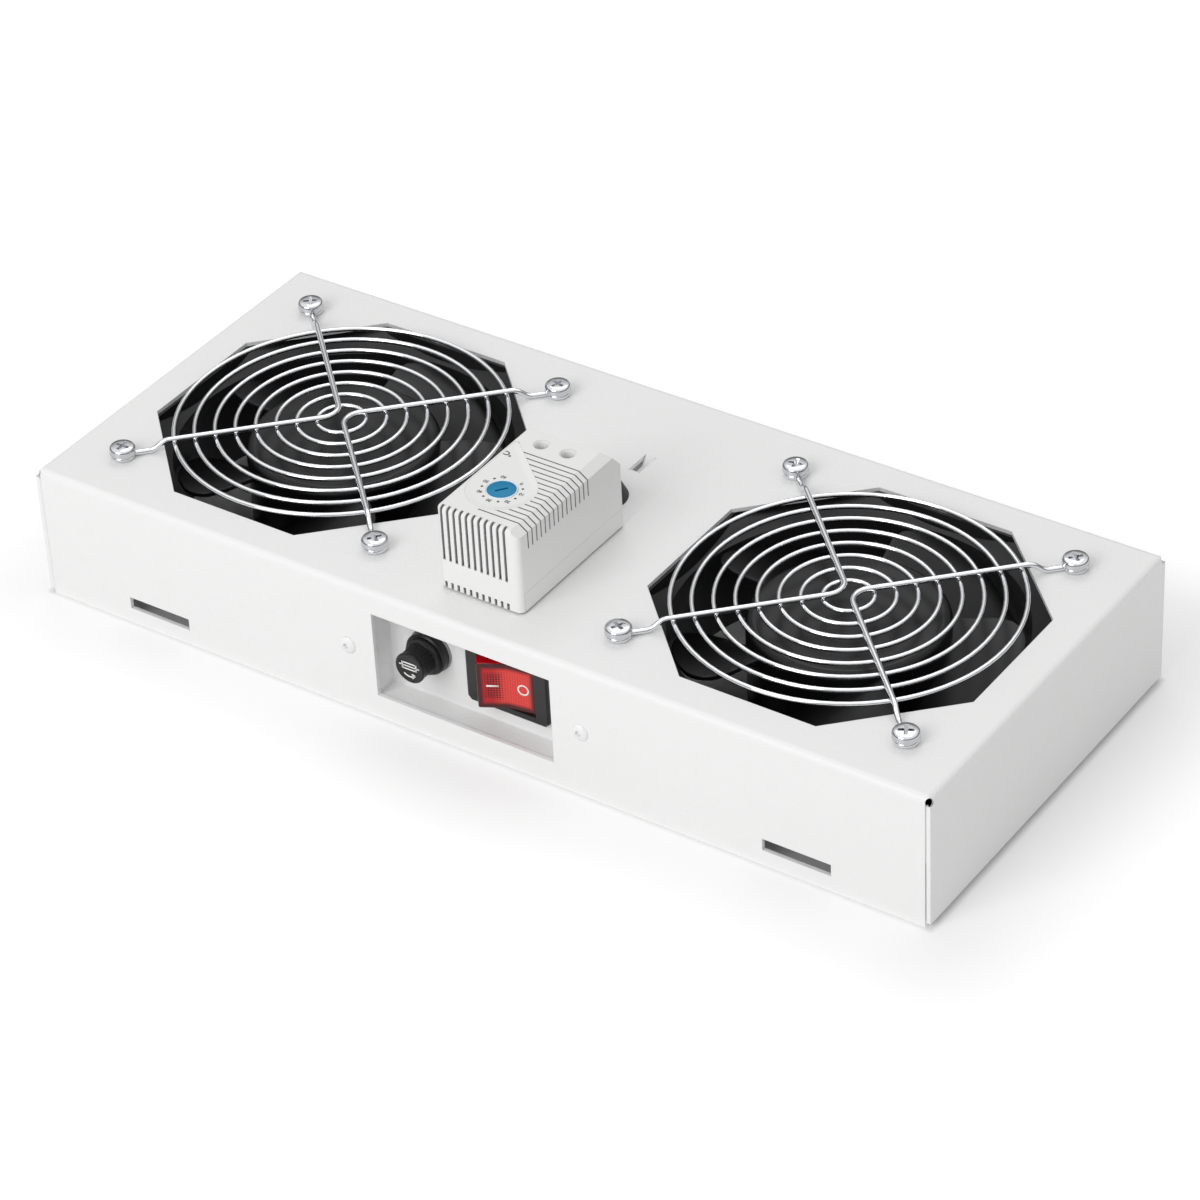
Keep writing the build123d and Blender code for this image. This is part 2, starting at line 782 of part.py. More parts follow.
def fuse_ends():
    """Metal caps on both ends of the glass."""
    cup = rod(fuse_diameter, 0, fuse_end)
    cup -= rod(fuse_glass_diameter + 2 * seat_gap, 1 - seat_gap, fuse_end + 1)
    lower = Pos(0, 0, fuse_bottom()) * cup
    upper = Pos(0, 0, fuse_bottom() + fuse_length) * Rot(180, 0, 0) * cup
    return at_fuse() * group([lower, upper])


# Rocker switch. Drawn upright with the face of its panel at z = 0, its length along X


def at_switch():
    """Place of the switch in the recess."""
    return facing_front(switch_x, panel_face, switch_z)


def switch_housing():
    """Bezel and body in one, hollow for the rocker."""
    bezel = extrude(Rectangle(bezel_length, bezel_height), bezel_thickness)
    bezel = chamfer(bezel.edges().filter_by(Axis.Z), bezel_corner)
    bezel = chamfer(bezel.edges().group_by(Axis.Z)[-1], 0.6)
    length = switch_cutout_length - 2 * slip_gap
    height = switch_cutout_height - 2 * slip_gap
    housing = bezel + slab(length, height, -switch_body_depth, 0)
    well_length = 2 * (rocker_radius + rocker_gap)
    well_height = rocker_height + 2 * slip_gap
    well = slab(well_length, well_height, pivot_z - rocker_radius - rocker_gap, bezel_thickness + 1)
    housing -= well
    pivot = Pos(0, 0, pivot_z) * Rot(90, 0, 0)
    housing -= pivot * Cylinder(rocker_pin / 2 + running_gap, rocker_height + 2 * rocker_pin_length + 1)
    for end in (-1, 1):
        barb = outline((0, -4), (0.9, -2.4), (0, -recess_sheet - 0.1))
        latch = extrude(Plane.XZ * barb, 4, both=True)
        housing += Pos(end * length / 2, 0, 0) * (latch if end > 0 else mirror(latch, Plane.YZ))
    return at_switch() * housing


def round_point(angle):
    """Point on the round end of the rocker, in degrees up from its mid plane."""
    return (rocker_radius * cos(radians(angle)), rocker_radius * sin(radians(angle)))


def rocker_profile():
    """Half-open section of the rocker about its pivot: hollow face, round ends, narrow back."""
    edge_x, edge_z = round_point(rocker_corner)
    side_x, side_z = round_point(0)
    back_x, back_z = round_point(-rocker_corner)
    middle = edge_z - edge_x * tan(radians(rocker_face))
    stem = rocker_radius * 0.35
    foot = -rocker_radius * 0.75
    face = FilletPolyline((-edge_x, edge_z), (0, middle), (edge_x, edge_z), radius=rocker_valley)
    return make_face([
        *face.edges(),
        ThreePointArc((edge_x, edge_z), (side_x, side_z), (back_x, back_z)),
        Line((back_x, back_z), (stem, foot)),
        Line((stem, foot), (-stem, foot)),
        Line((-stem, foot), (-back_x, back_z)),
        ThreePointArc((-back_x, back_z), (-side_x, side_z), (-edge_x, edge_z)),
    ])


def switch_rocker():
    """Clear red rocker with a pin at either side, shown tipped to OFF."""
    form = extrude(Plane.XZ * rocker_profile(), rocker_height / 2, both=True)
    form += Rot(90, 0, 0) * Cylinder(rocker_pin / 2, rocker_height + 2 * rocker_pin_length)
    return at_switch() * Pos(0, 0, pivot_z) * Rot(0, rocker_tilt, 0) * form


def switch_terminals():
    """Four spade tabs in the back of the switch."""
    low = -switch_body_depth - spade_reach
    tab = slab(spade_width, spade_thickness, low, -switch_body_depth)
    tab = chamfer(tab.edges().group_by(Axis.Z)[0].filter_by(Axis.Y), 1.2)
    tab -= Pos(0, 0, low + spade_reach / 2) * Rot(90, 0, 0) * Cylinder(0.9, 2)
    places = GridLocations(14.0, 11.0, 2, 2)
    return at_switch() * group(place * Rot(0, 0, 90) * tab for place in places)


# Thermostat. Drawn with the plate's upper face at z = 0, its front face at y = 0


def at_thermostat():
    """Place of the thermostat on the plate."""
    return Pos(thermo_x, thermo_y, plate_top)


def thermostat_form(inset):
    """Outer form of the whole thermostat, or the same form pulled in on every side."""
    half = thermo_width / 2 - inset
    top = thermo_height - inset
    front = inset
    back = thermo_length - inset
    ease = inset * 0.4
    across = outline(
        (-half, 0),
        (half, 0),
        (half, top - side_bevel_height + ease),
        (half - side_bevel_width + ease, top),
        (-half, top),
    )
    along = outline(
        (front, 0),
        (back, 0),
        (back, top - back_bevel_height + ease),
        (back - back_bevel_length + ease, top),
        (front, top),
    )
    form = extrude(Plane.XZ * across, -thermo_length)
    form = form & extrude(Plane.YZ * along, thermo_width, both=True)
    if inset:
        return form
    uprights = form.edges().filter_by(Axis.Z).group_by(Axis.Y)[0]
    form = fillet(uprights, thermo_edge)
    front_top = form.edges().group_by(Axis.Z)[-1].group_by(Axis.Y)[0]
    return fillet(front_top, thermo_top_edge)


def thermostat_base():
    """Lower tray of the thermostat, standing on a slightly smaller foot."""
    form = thermostat_form(0)
    lower = slab(2 * thermo_width, 4 * thermo_length, thermo_foot, thermo_seam)
    base = form & lower
    foot = Rectangle(thermo_width - 2 * thermo_foot_inset, thermo_length - 2 * thermo_foot_inset)
    base += Pos(0, thermo_length / 2) * extrude(foot, thermo_foot + 0.1)
    front_room = thermo_wall + touch_gap
    base -= Pos(0, front_room / 2, thermo_seam / 2) * Box(2 * thermo_width, front_room, 4 * thermo_seam)
    room = Pos(0, thermo_length / 2 + front_room / 2) * slab(
        thermo_width - 2 * thermo_wall, thermo_length - 3 * thermo_wall, base_floor, thermo_seam + 1)
    base -= room
    for y in (-base_screw_spacing / 2, base_screw_spacing / 2):
        post = rod(base_screw + 4, 0.1, thermo_seam)
        hole = rod(base_screw + 2 * seat_gap, -1, base_screw_length - sheet + 0.3)
        base += Pos(0, base_screw_y + y, 0) * post
        base -= Pos(0, base_screw_y + y, 0) * hole
    return at_thermostat() * base


def dial_place():
    """Place of the dial on the thermostat."""
    return Pos(dial_x, dial_y, 0)


def label_panel():
    """Teardrop round the dial, sunk a little."""
    drop = make_hull([
        *(Pos(dial_x, dial_y) * Circle(panel_radius)).edges(),
        *(Pos(panel_tip_x, panel_tip_y) * Circle(panel_tip)).edges(),
    ])
    return Pos(0, 0, thermo_height - panel_depth) * extrude(drop, panel_depth + 1)


def groove_start(y):
    """Left end of a groove: the line from the dial to the tip of the panel."""
    share = max(0, (y - dial_y) / (panel_tip_y - dial_y))
    return dial_x + (panel_tip_x - dial_x) * share


def cover_groove(y):
    """One fine groove over the top, down the bevel and down the side."""
    half = thermo_width / 2
    start = groove_start(y)
    low = thermo_height - groove_side
    profile = outline(
        (start, thermo_height + 1),
        (start, thermo_height - groove_depth),
        (half - side_bevel_width - groove_depth * 0.3, thermo_height - groove_depth),
        (half - groove_depth, thermo_height - side_bevel_height - groove_depth * 0.5),
        (half - groove_depth, low),
        (half + 1, low),
        (half + 1, thermo_height + 1),
    )
    return Pos(0, y, 0) * extrude(Plane.XZ * profile, groove_width / 2, both=True)


def thermostat_cover():
    """Slotted cover; its front wall runs down to the plate."""
    hollow = thermostat_form(thermo_wall)
    cover = thermostat_form(0) - hollow
    front_room = thermo_wall
    lower = slab(2 * thermo_width, 4 * thermo_length, -1, thermo_seam + touch_gap)
    keep_front = Pos(0, front_room / 2, 0) * Box(2 * thermo_width, front_room, 4 * thermo_seam)
    cover -= lower - keep_front
    cover -= slab(2 * thermo_width, 4 * thermo_length, -1, thermo_foot)

    keep_panel = label_panel()
    for n in range(groove_count):
        cover -= cover_groove(groove_first + n * groove_pitch) - keep_panel
    cover -= keep_panel
    slot_height = thermo_height - louvre_bottom
    for n in range(louvre_count):
        x = -thermo_width / 2 + louvre_first + n * louvre_pitch
        slot = Box(louvre_width, 2 * louvre_wrap, slot_height + 2)
        cover -= Pos(x, 0, louvre_bottom + slot_height / 2 + 1) * slot
        notch = Box(louvre_width, 4 * thermo_wall, notch_height)
        cover -= Pos(x, 0, thermo_foot + notch_height / 2) * notch
    cover -= dial_place() * rod(dial_diameter + 2 * slip_gap, thermo_height - 2 * thermo_wall, thermo_height + 1)
    for side in (-1, 1):
        hole = rod(access_hole, thermo_height - 2 * thermo_wall, thermo_height + 1)
        cover -= Pos(access_x + side * access_spacing / 2, access_y, 0) * hole
    return at_thermostat() * cover


def thermostat_dial():
    """Blue setting dial with a screwdriver slot and its spindle."""
    top = thermo_height - panel_depth + 0.3
    dial = rod(dial_diameter, top - dial_height, top)
    dial = chamfer(dial.edges().group_by(Axis.Z)[-1], 0.4)
    slot = Box(dial_diameter * 0.4, dial_slot, 2.0)
    dial -= Pos(0, 0, top) * Rot(0, 0, 30) * slot
    dial += rod(spindle_diameter, strip_top() + slip_gap, top - dial_height)
    return at_thermostat() * dial_place() * dial


def mechanism_top():
    """Upper face of the inner frame that carries the spindle."""
    return thermo_height - thermo_wall - mechanism_drop


def strip_top():
    """Upper face of the bimetal blade, just under the deck of the frame."""
    return mechanism_top() - deck_thickness - bimetal_gap


def thermostat_frame():
    """Inner frame that stands on the base, with a bush for the spindle."""
    top = mechanism_top()
    frame = slab(deck_length, deck_width, top - deck_thickness, top)
    for side in (-1, 1):
        post = slab(deck_post, deck_width, base_floor, top)
        frame += Pos(side * (deck_length - deck_post) / 2, 0, 0) * post
    bush = rod(spindle_diameter + 2 * bush_wall, top, top + bush_height)
    hole = rod(spindle_diameter + 2 * running_gap, top - 2 * deck_thickness, top + bush_height + 1)
    return at_thermostat() * Pos(dial_x, dial_y, 0) * (frame + bush - hole)


def bimetal_strip():
    """Bimetal blade on a foot, reaching under the spindle."""
    foot = slab(bimetal_width + 1, bimetal_foot, base_floor, strip_top() - bimetal_thickness)
    strip = slab(bimetal_width, bimetal_length, strip_top() - bimetal_thickness, strip_top())
    strip = Pos(0, (bimetal_foot - bimetal_length) / 2, 0) * strip
    return at_thermostat() * Pos(dial_x, bimetal_foot_y, 0) * (foot + strip)


def terminal_block():
    """Moulded block with two clamps under the access holes."""
    low = base_floor
    block = slab(block_width, block_depth, low, low + block_height)
    for side in (-1, 1):
        x = side * access_spacing / 2
        block -= Pos(x, 0, 0) * rod(clamp_bore, low + clamp_floor, low + block_height + 1)
        wire_way = Box(wire_hole, block_depth, wire_hole)
        block -= Pos(x, block_depth / 2, low + clamp_floor - 1 + wire_hole / 2) * wire_way
    return at_thermostat() * Pos(access_x, access_y, 0) * block


def terminal_screws():
    """Two slotted clamp screws in the terminal block."""
    low = base_floor + clamp_floor + touch_gap
    neck = low + 2.0
    head_top = neck + 3.2
    head = rod(clamp_bore - 2 * slip_gap, neck, head_top)
    head -= Pos(0, 0, head_top) * Box(2 * clamp_bore, 0.8, 1.6)
    screw = head + rod(base_screw, low, neck)
    places = (access_x - access_spacing / 2, access_x + access_spacing / 2)
    return at_thermostat() * group(Pos(x, access_y, 0) * screw for x in places)


def thermostat_screws():
    """Two screws through the plate from below, into the base."""
    head = Rot(180, 0, 0) * pan_head(base_screw_head, 1.8)
    cross = Rot(180, 0, 0) * cross_recess(1.8)
    screw = head - cross + rod(base_screw, 0, base_screw_length)
    under = Pos(thermo_x, thermo_y + base_screw_y, plate_under)
    places = (-base_screw_spacing / 2, base_screw_spacing / 2)
    return group(under * Pos(0, y, 0) * screw for y in places)


def lead_grommet():
    """Rubber ring in the plate behind the thermostat, with a bead on either face."""
    inner = grommet_bore / 2
    hole = grommet_hole / 2 - seat_gap
    outer = grommet_outer / 2
    upper = touch_gap
    lower = -sheet - touch_gap
    bead = 2 * grommet_bead
    profile = outline(
        (inner, lower - bead),
        (inner, upper + bead),
        (outer - grommet_bead, upper + bead),
        (outer, upper),
        (hole, upper),
        (hole, lower),
        (outer - grommet_bead / 2, lower),
        (outer - grommet_bead / 2, lower - bead),
    )
    ring = revolve(Plane.XZ * profile, Axis.Z)
    return Pos(grommet_x, grommet_y, plate_top) * ring


def build_parts():
    """Every piece by its name, in its place."""
    pieces = {
        "tray_housing": tray_housing(),
        "control_recess": control_recess(),
        "recess_rivets": recess_rivets(),
        "lead_grommet": lead_grommet(),
        "fuse_holder": fuse_holder(),
        "fuse_holder_washer": fuse_washer_ring(),
        "fuse_holder_nut": fuse_holder_nut(),
        "fuse_holder_contacts": fuse_contacts(),
        "fuse_cap": fuse_cap(),
        "fuse_glass": fuse_glass(),
        "fuse_end_caps": fuse_ends(),
        "switch_housing": switch_housing(),
        "switch_rocker": switch_rocker(),
        "switch_terminals": switch_terminals(),
        "thermostat_base": thermostat_base(),
        "thermostat_cover": thermostat_cover(),
        "thermostat_dial": thermostat_dial(),
        "thermostat_frame": thermostat_frame(),
        "bimetal_strip": bimetal_strip(),
        "terminal_block": terminal_block(),
        "terminal_screws": terminal_screws(),
        "thermostat_screws": thermostat_screws(),
    }
    hung = {
        "fan_frame": fan_frame(),
        "impeller": impeller(),
        "rotor_ring": rotor_ring(),
        "motor_shaft": motor_shaft(),
        "shaft_clip": shaft_clip(),
        "ball_bearings": ball_bearings(),
        "stator_core": stator_core(),
        "stator_coils": stator_coils(),
    }
    on_top = {
        "finger_guard": finger_guard(),
        "guard_screws": guard_screws(),
        "guard_nuts": guard_nuts(),
    }
    for side, x in (("left", -fan_spacing / 2), ("right", fan_spacing / 2)):
        for name, piece in hung.items():
            pieces[f"{side}_{name}"] = Pos(x, 0, plate_under) * piece
        for name, piece in on_top.items():
            pieces[f"{side}_{name}"] = Pos(x, 0, plate_top) * piece
    return pieces


os.makedirs("parts", exist_ok=True)
for node, shape in build_parts().items():
    export_step(shape, f"parts/{node}.step")
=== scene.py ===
# %% [markdown]
# # A fan tray for the roof of a small rack
# The tray is one folded sheet of coated steel. Two mains fans hang under it, each behind a guard
# of bright wire, and a thermostat on top switches them. A fuse holder and a rocker switch sit in
# a recess in the front wall. The shapes come from the CAD model, which is loaded as a fixed
# frame. This script dresses it: it gives each piece its finish, and it makes finer versions of
# the pieces whose form catches the eye.

# %% Load the frame
import math
import bmesh
import bpy
from mathutils import Matrix, Vector


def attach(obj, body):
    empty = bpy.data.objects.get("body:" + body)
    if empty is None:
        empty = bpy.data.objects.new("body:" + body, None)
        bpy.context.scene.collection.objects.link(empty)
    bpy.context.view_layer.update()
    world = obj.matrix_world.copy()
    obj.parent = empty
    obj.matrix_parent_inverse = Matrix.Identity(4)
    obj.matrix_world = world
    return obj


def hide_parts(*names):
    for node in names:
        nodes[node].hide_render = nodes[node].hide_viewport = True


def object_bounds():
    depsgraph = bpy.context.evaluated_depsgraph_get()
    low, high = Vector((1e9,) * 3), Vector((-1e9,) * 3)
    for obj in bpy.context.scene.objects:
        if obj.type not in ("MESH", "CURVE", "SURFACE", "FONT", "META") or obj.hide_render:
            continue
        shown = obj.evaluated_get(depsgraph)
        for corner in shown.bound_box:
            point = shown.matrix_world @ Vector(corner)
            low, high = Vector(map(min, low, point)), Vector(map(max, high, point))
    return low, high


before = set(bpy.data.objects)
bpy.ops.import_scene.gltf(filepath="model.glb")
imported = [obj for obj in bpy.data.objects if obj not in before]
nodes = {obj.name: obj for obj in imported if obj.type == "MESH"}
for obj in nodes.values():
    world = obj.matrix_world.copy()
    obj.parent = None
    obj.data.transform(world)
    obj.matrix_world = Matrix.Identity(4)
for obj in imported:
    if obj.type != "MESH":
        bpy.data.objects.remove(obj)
cad_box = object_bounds()
scene = bpy.context.scene
MM = 0.001

# %% [markdown]
# ## Camera
# The camera was found by matching screw heads, guard rings and tray corners in the photograph.
# A long lens stands far off, so the long edges hardly draw together. Its place and its three
# directions are written down, because a matrix says exactly which way up the picture is.

# %% Camera
eye = Vector((0.714232, -0.986003, 0.892476))
looking = Vector((-0.474112, 0.658152, -0.584854)).normalized()
rightward = Vector((0.828504, 0.558303, -0.043353)).normalized()
upward = rightward.cross(looking).normalized()
rightward = looking.cross(upward).normalized()
lens_data = bpy.data.cameras.new("photo_camera")
lens_data.sensor_width = 36.0
lens_data.lens = 135.86
lens_data.shift_x = -0.0015
lens_data.shift_y = -0.0014
lens_data.clip_start = 0.01
camera = bpy.data.objects.new("photo_camera", lens_data)
scene.collection.objects.link(camera)
axes = Matrix((rightward, upward, -looking)).transposed().to_4x4()
camera.matrix_world = Matrix.Translation(eye) @ axes
scene.camera = camera
scene.view_settings.view_transform = "Standard"
print("camera at", [round(v, 3) for v in eye])

# %% [markdown]
# ## Nodes and sockets
# Every material below is a small graph of nodes. These helpers make a node, set its sockets by
# name and link it, so that each material reads as a list of what feeds what.

# %% Helpers for node graphs
def add_node(tree, kind, **values):
    """A new shader node; values go to its properties or to its sockets."""
    node = tree.nodes.new(kind)
    for key, value in values.items():
        if hasattr(node, key):
            setattr(node, key, value)
        else:
            node.inputs[key.replace("_", " ")].default_value = value
    return node


def wire(tree, *pairs):
    """Links sockets: each pair is an output and the input that it feeds."""
    for source, target in pairs:
        tree.links.new(source, target)


def new_group(name, inputs, outputs):
    """An empty node group with named sockets: (name, kind, default)."""
    tree = bpy.data.node_groups.new(name, "ShaderNodeTree")
    for label, kind, value in inputs:
        socket = tree.interface.new_socket(label, in_out="INPUT", socket_type="NodeSocket" + kind)
        if value is not None:
            socket.default_value = value
    for label, kind in outputs:
        tree.interface.new_socket(label, in_out="OUTPUT", socket_type="NodeSocket" + kind)
    return tree, tree.nodes.new("NodeGroupInput"), tree.nodes.new("NodeGroupOutput")


def new_material(name, **principled):
    """A material with a Principled BSDF; numbers go straight onto its sockets."""
    material = bpy.data.materials.new(name)
    material.use_nodes = True
    tree = material.node_tree
    shader = tree.nodes["Principled BSDF"]
    for key, value in principled.items():
        shader.inputs[key.replace("_", " ")].default_value = value
    return material, tree, shader


def use_group(tree, group, **values):
    """Places a shared group in a material and sets its inputs."""
    node = tree.nodes.new("ShaderNodeGroup")
    node.node_tree = group
    for key, value in values.items():
        node.inputs[key.replace("_", " ")].default_value = value
    return node


# %% [markdown]
# ## Shared surface effects
# Four effects turn up on many pieces, so each is a group that is built once. *Tone drift* shifts
# a colour a little from place to place. *Fine grain* is the small relief of a coat, a casting or
# a moulding. *Soft edge* bends the shading round sharp edges, as a real edge is never a knife.
# *Rim* finds those same edges as a mask, so that a painted highlight can make them paler,
# or painted shade darker.

# %% Tone drift
drift, at_in, at_out = new_group(
    "tone_drift",
    [("Tone", "Color", (0.5, 0.5, 0.5, 1)), ("Amount", "Float", 0.05), ("Scale", "Float", 60.0)],
    [("Tone", "Color"), ("Mask", "Float")],
)
place = add_node(drift, "ShaderNodeTexCoord")
cloud = add_node(drift, "ShaderNodeTexNoise", Detail=4.0, Roughness=0.6)
centre_it = add_node(drift, "ShaderNodeMath", operation="SUBTRACT")
centre_it.inputs[1].default_value = 0.5
swing = add_node(drift, "ShaderNodeMath", operation="MULTIPLY_ADD")
swing.inputs[2].default_value = 1.0
tint = add_node(drift, "ShaderNodeVectorMath", operation="SCALE")
wire(drift,
     (place.outputs["Object"], cloud.inputs["Vector"]),
     (at_in.outputs["Scale"], cloud.inputs["Scale"]),
     (cloud.outputs["Fac"], centre_it.inputs[0]),
     (centre_it.outputs[0], swing.inputs[0]),
     (at_in.outputs["Amount"], swing.inputs[1]),
     (at_in.outputs["Tone"], tint.inputs[0]),
     (swing.outputs[0], tint.inputs["Scale"]),
     (tint.outputs[0], at_out.inputs["Tone"]),
     (cloud.outputs["Fac"], at_out.inputs["Mask"]))

# %% [markdown]
# ### Fine grain
# One noise texture gives a height. Its coordinates can be stretched along one axis, which
# turns grains into the lines of rolled or turned metal.

# %% Fine grain
grain, at_in, at_out = new_group(
    "fine_grain",
    [("Scale", "Float", 900.0), ("Softness", "Float", 0.5), ("Stretch", "Vector", (1, 1, 1))],
    [("Height", "Float")],
)
place = add_node(grain, "ShaderNodeTexCoord")
stretch = add_node(grain, "ShaderNodeVectorMath", operation="MULTIPLY")
bumps = add_node(grain, "ShaderNodeTexNoise", Detail=2.0)
wire(grain,
     (place.outputs["Object"], stretch.inputs[0]),
     (at_in.outputs["Stretch"], stretch.inputs[1]),
     (stretch.outputs[0], bumps.inputs["Vector"]),
     (at_in.outputs["Scale"], bumps.inputs["Scale"]),
     (at_in.outputs["Softness"], bumps.inputs["Roughness"]),
     (bumps.outputs["Fac"], at_out.inputs["Height"]))

# %% [markdown]
# ### Soft edge and rim mask
# The Bevel node answers with a normal that is rounded near edges. Where it differs from the
# true normal there must be an edge, and that difference is the mask.

# %% Soft edge and rim mask
soft_edge, at_in, at_out = new_group(
    "soft_edge",
    [("Radius", "Float", 0.0003)],
    [("Normal", "Vector"), ("Rim", "Float")],
)
rounded = add_node(soft_edge, "ShaderNodeBevel", samples=6)
true_face = add_node(soft_edge, "ShaderNodeNewGeometry")
match = add_node(soft_edge, "ShaderNodeVectorMath", operation="DOT_PRODUCT")
rim = add_node(soft_edge, "ShaderNodeMapRange")
rim.inputs["From Min"].default_value = 0.995
rim.inputs["From Max"].default_value = 0.8
wire(soft_edge,
     (at_in.outputs["Radius"], rounded.inputs["Radius"]),
     (rounded.outputs[0], match.inputs[0]),
     (true_face.outputs["Normal"], match.inputs[1]),
     (match.outputs["Value"], rim.inputs["Value"]),
     (rounded.outputs[0], at_out.inputs["Normal"]),
     (rim.outputs[0], at_out.inputs["Rim"]))
print("groups:", [g.name for g in bpy.data.node_groups])


# %% [markdown]
# ## A recipe for solid finishes
# Paint, plastic, rubber and metal differ in numbers more than in structure: a colour that
# drifts, a roughness that varies with the same cloud, and a bump from fine grain on top of the
# softened edges. One function wires that up, and each finish then has its own values.

# %% Recipe
def finish(name, tone, rough, grain_scale, grain_depth, amount=0.06, drift_scale=45.0,
           edge=0.0003, rough_swing=0.06, stretch=(1, 1, 1), edge_highlight=0.0, **principled):
    """A finish from the shared groups; depth in metres, scales per metre."""
    material, tree, shader = new_material(name, **principled)
    tone_node = use_group(tree, drift, Tone=(*tone, 1), Amount=amount, Scale=drift_scale)
    swing_node = add_node(tree, "ShaderNodeMapRange")
    swing_node.inputs["To Min"].default_value = max(rough - rough_swing, 0.02)
    swing_node.inputs["To Max"].default_value = rough + rough_swing
    relief = use_group(tree, grain, Scale=grain_scale, Stretch=stretch)
    edge_node = use_group(tree, soft_edge, Radius=edge)
    bump = add_node(tree, "ShaderNodeBump", Distance=grain_depth, Strength=1.0)
    wire(tree,
         (tone_node.outputs["Mask"], swing_node.inputs["Value"]),
         (swing_node.outputs[0], shader.inputs["Roughness"]),
         (relief.outputs["Height"], bump.inputs["Height"]),
         (edge_node.outputs["Normal"], bump.inputs["Normal"]),
         (bump.outputs["Normal"], shader.inputs["Normal"]))
    colour = tone_node.outputs["Tone"]
    # A painted highlight on edges: where the rim mask finds an edge, the tone is made paler.
    if edge_highlight:
        lift = add_node(tree, "ShaderNodeMix", data_type="RGBA", blend_type="MIX")
        highlight_tone = tuple(min(1.0, c + edge_highlight * (1 - c)) for c in tone)
        lift.inputs["B"].default_value = (*highlight_tone, 1)
        tree.links.new(edge_node.outputs["Rim"], lift.inputs["Factor"])
        tree.links.new(colour, lift.inputs["A"])
        colour = lift.outputs["Result"]
    tree.links.new(colour, shader.inputs["Base Color"])
    return material


# %% [markdown]
# ## The finishes
# Each finish is one call. The colour comes first, then the roughness, then the size and depth
# of the grain. Coated steel is pale and half matt, castings are dark with a slight shine, and
# plated metal has a small roughness, so that it mirrors the lamps.

# %% Finishes
coat = finish("coat_light_grey", (0.87, 0.87, 0.867), 0.38, 1400, 0.00012, amount=0.03,
              drift_scale=14, edge=0.0003, rough_swing=0.05)
# Painted shade: the coat in the recess is the same paint, made darker for the deep box.
shaded_recess_coat = finish("coat_shaded_in_recess", (0.83, 0.83, 0.828), 0.42, 1400, 0.00012, amount=0.03,
                     drift_scale=14, edge=0.0003, rough_swing=0.05)
# The dark finishes from here on that give an edge share get a painted highlight on their edges: the
# tone is made paler there by that share.
black_casting = finish("black_casting", (0.014, 0.014, 0.015), 0.33, 1600, 0.00003,
                       amount=0.4, edge_highlight=0.03)
black_blade = finish("black_blade", (0.005, 0.005, 0.0053), 0.32, 500, 0.00001, amount=0.3,
                     Specular_IOR_Level=0.36)
black_moulding = finish("black_moulding", (0.018, 0.018, 0.019), 0.36, 2500, 0.00001,
                        amount=0.3, edge=0.0002, edge_highlight=0.02, Specular_IOR_Level=0.4)
fuse_black = finish("fuse_black", (0.005, 0.005, 0.005), 0.34, 2500, 0.00001, amount=0.3,
                    edge=0.0002, edge_highlight=0.03, Specular_IOR_Level=0.35)
bright_wire = finish("bright_wire", (0.80, 0.81, 0.83), 0.06, 700, 0.000003, amount=0.08,
                     rough_swing=0.03, edge=0.00005, Metallic=1.0)
zinc = finish("zinc_plate", (0.64, 0.65, 0.67), 0.10, 1500, 0.000005, amount=0.15,
              edge=0.00012, Metallic=1.0)
ground_steel = finish("ground_steel", (0.56, 0.56, 0.58), 0.22, 900, 0.000004, amount=0.12,
                      stretch=(1, 1, 12), edge=0.0001, Metallic=1.0)
plain_steel = finish("plain_steel", (0.36, 0.36, 0.37), 0.4, 600, 0.00001, amount=0.3,
                     Metallic=1.0)
stamped_steel = finish("stamped_steel", (0.20, 0.20, 0.21), 0.45, 60, 0.00012, amount=0.3,
                       stretch=(0.4, 0.4, 30), Metallic=1.0)
copper_winding = finish("copper_winding", (0.58, 0.22, 0.08), 0.3, 60, 0.0002, amount=0.3,
                        stretch=(1, 1, 30), Metallic=1.0)
tinned_brass = finish("tinned_brass", (0.72, 0.66, 0.5), 0.3, 900, 0.000006, amount=0.15,
                      Metallic=1.0)
nickel = finish("nickel_plate", (0.68, 0.67, 0.64), 0.2, 900, 0.000005, amount=0.1, Metallic=1.0)
grey_rubber = finish("grey_rubber", (0.30, 0.30, 0.30), 0.6, 1500, 0.00002, amount=0.15)
black_rubber = finish("black_rubber", (0.035, 0.035, 0.037), 0.62, 1500, 0.00003, amount=0.35,
                      edge=0.0004, edge_highlight=0.05)
white_case = finish("white_case", (0.84, 0.84, 0.832), 0.46, 2600, 0.000012, amount=0.015,
                    drift_scale=30, edge=0.0002, Coat_Weight=0.05)
dial_blue = finish("dial_blue", (0.003, 0.215, 0.42), 0.4, 2200, 0.00001, amount=0.1,
                   edge=0.0001, Specular_IOR_Level=0.3)
# Painted highlight: the pale colour of the ring round the dial stands for light on its chamfer.
highlight_ring_paint = finish("highlight_ring_paint", (0.80, 0.90, 0.97), 0.3, 2000, 0.000006, amount=0.05, edge=0.0001)
block_plastic = finish("block_plastic", (0.68, 0.66, 0.6), 0.5, 1500, 0.00001)
rolled_strip = finish("rolled_strip", (0.55, 0.46, 0.33), 0.3, 500, 0.00001,
                      stretch=(1, 12, 1), Metallic=1.0)

# %% [markdown]
# ## Dark hollows
# Slots and grooves that are under a millimetre wide catch hardly any light. Ambient occlusion
# finds such places, and the finish is darkened there with painted shade.

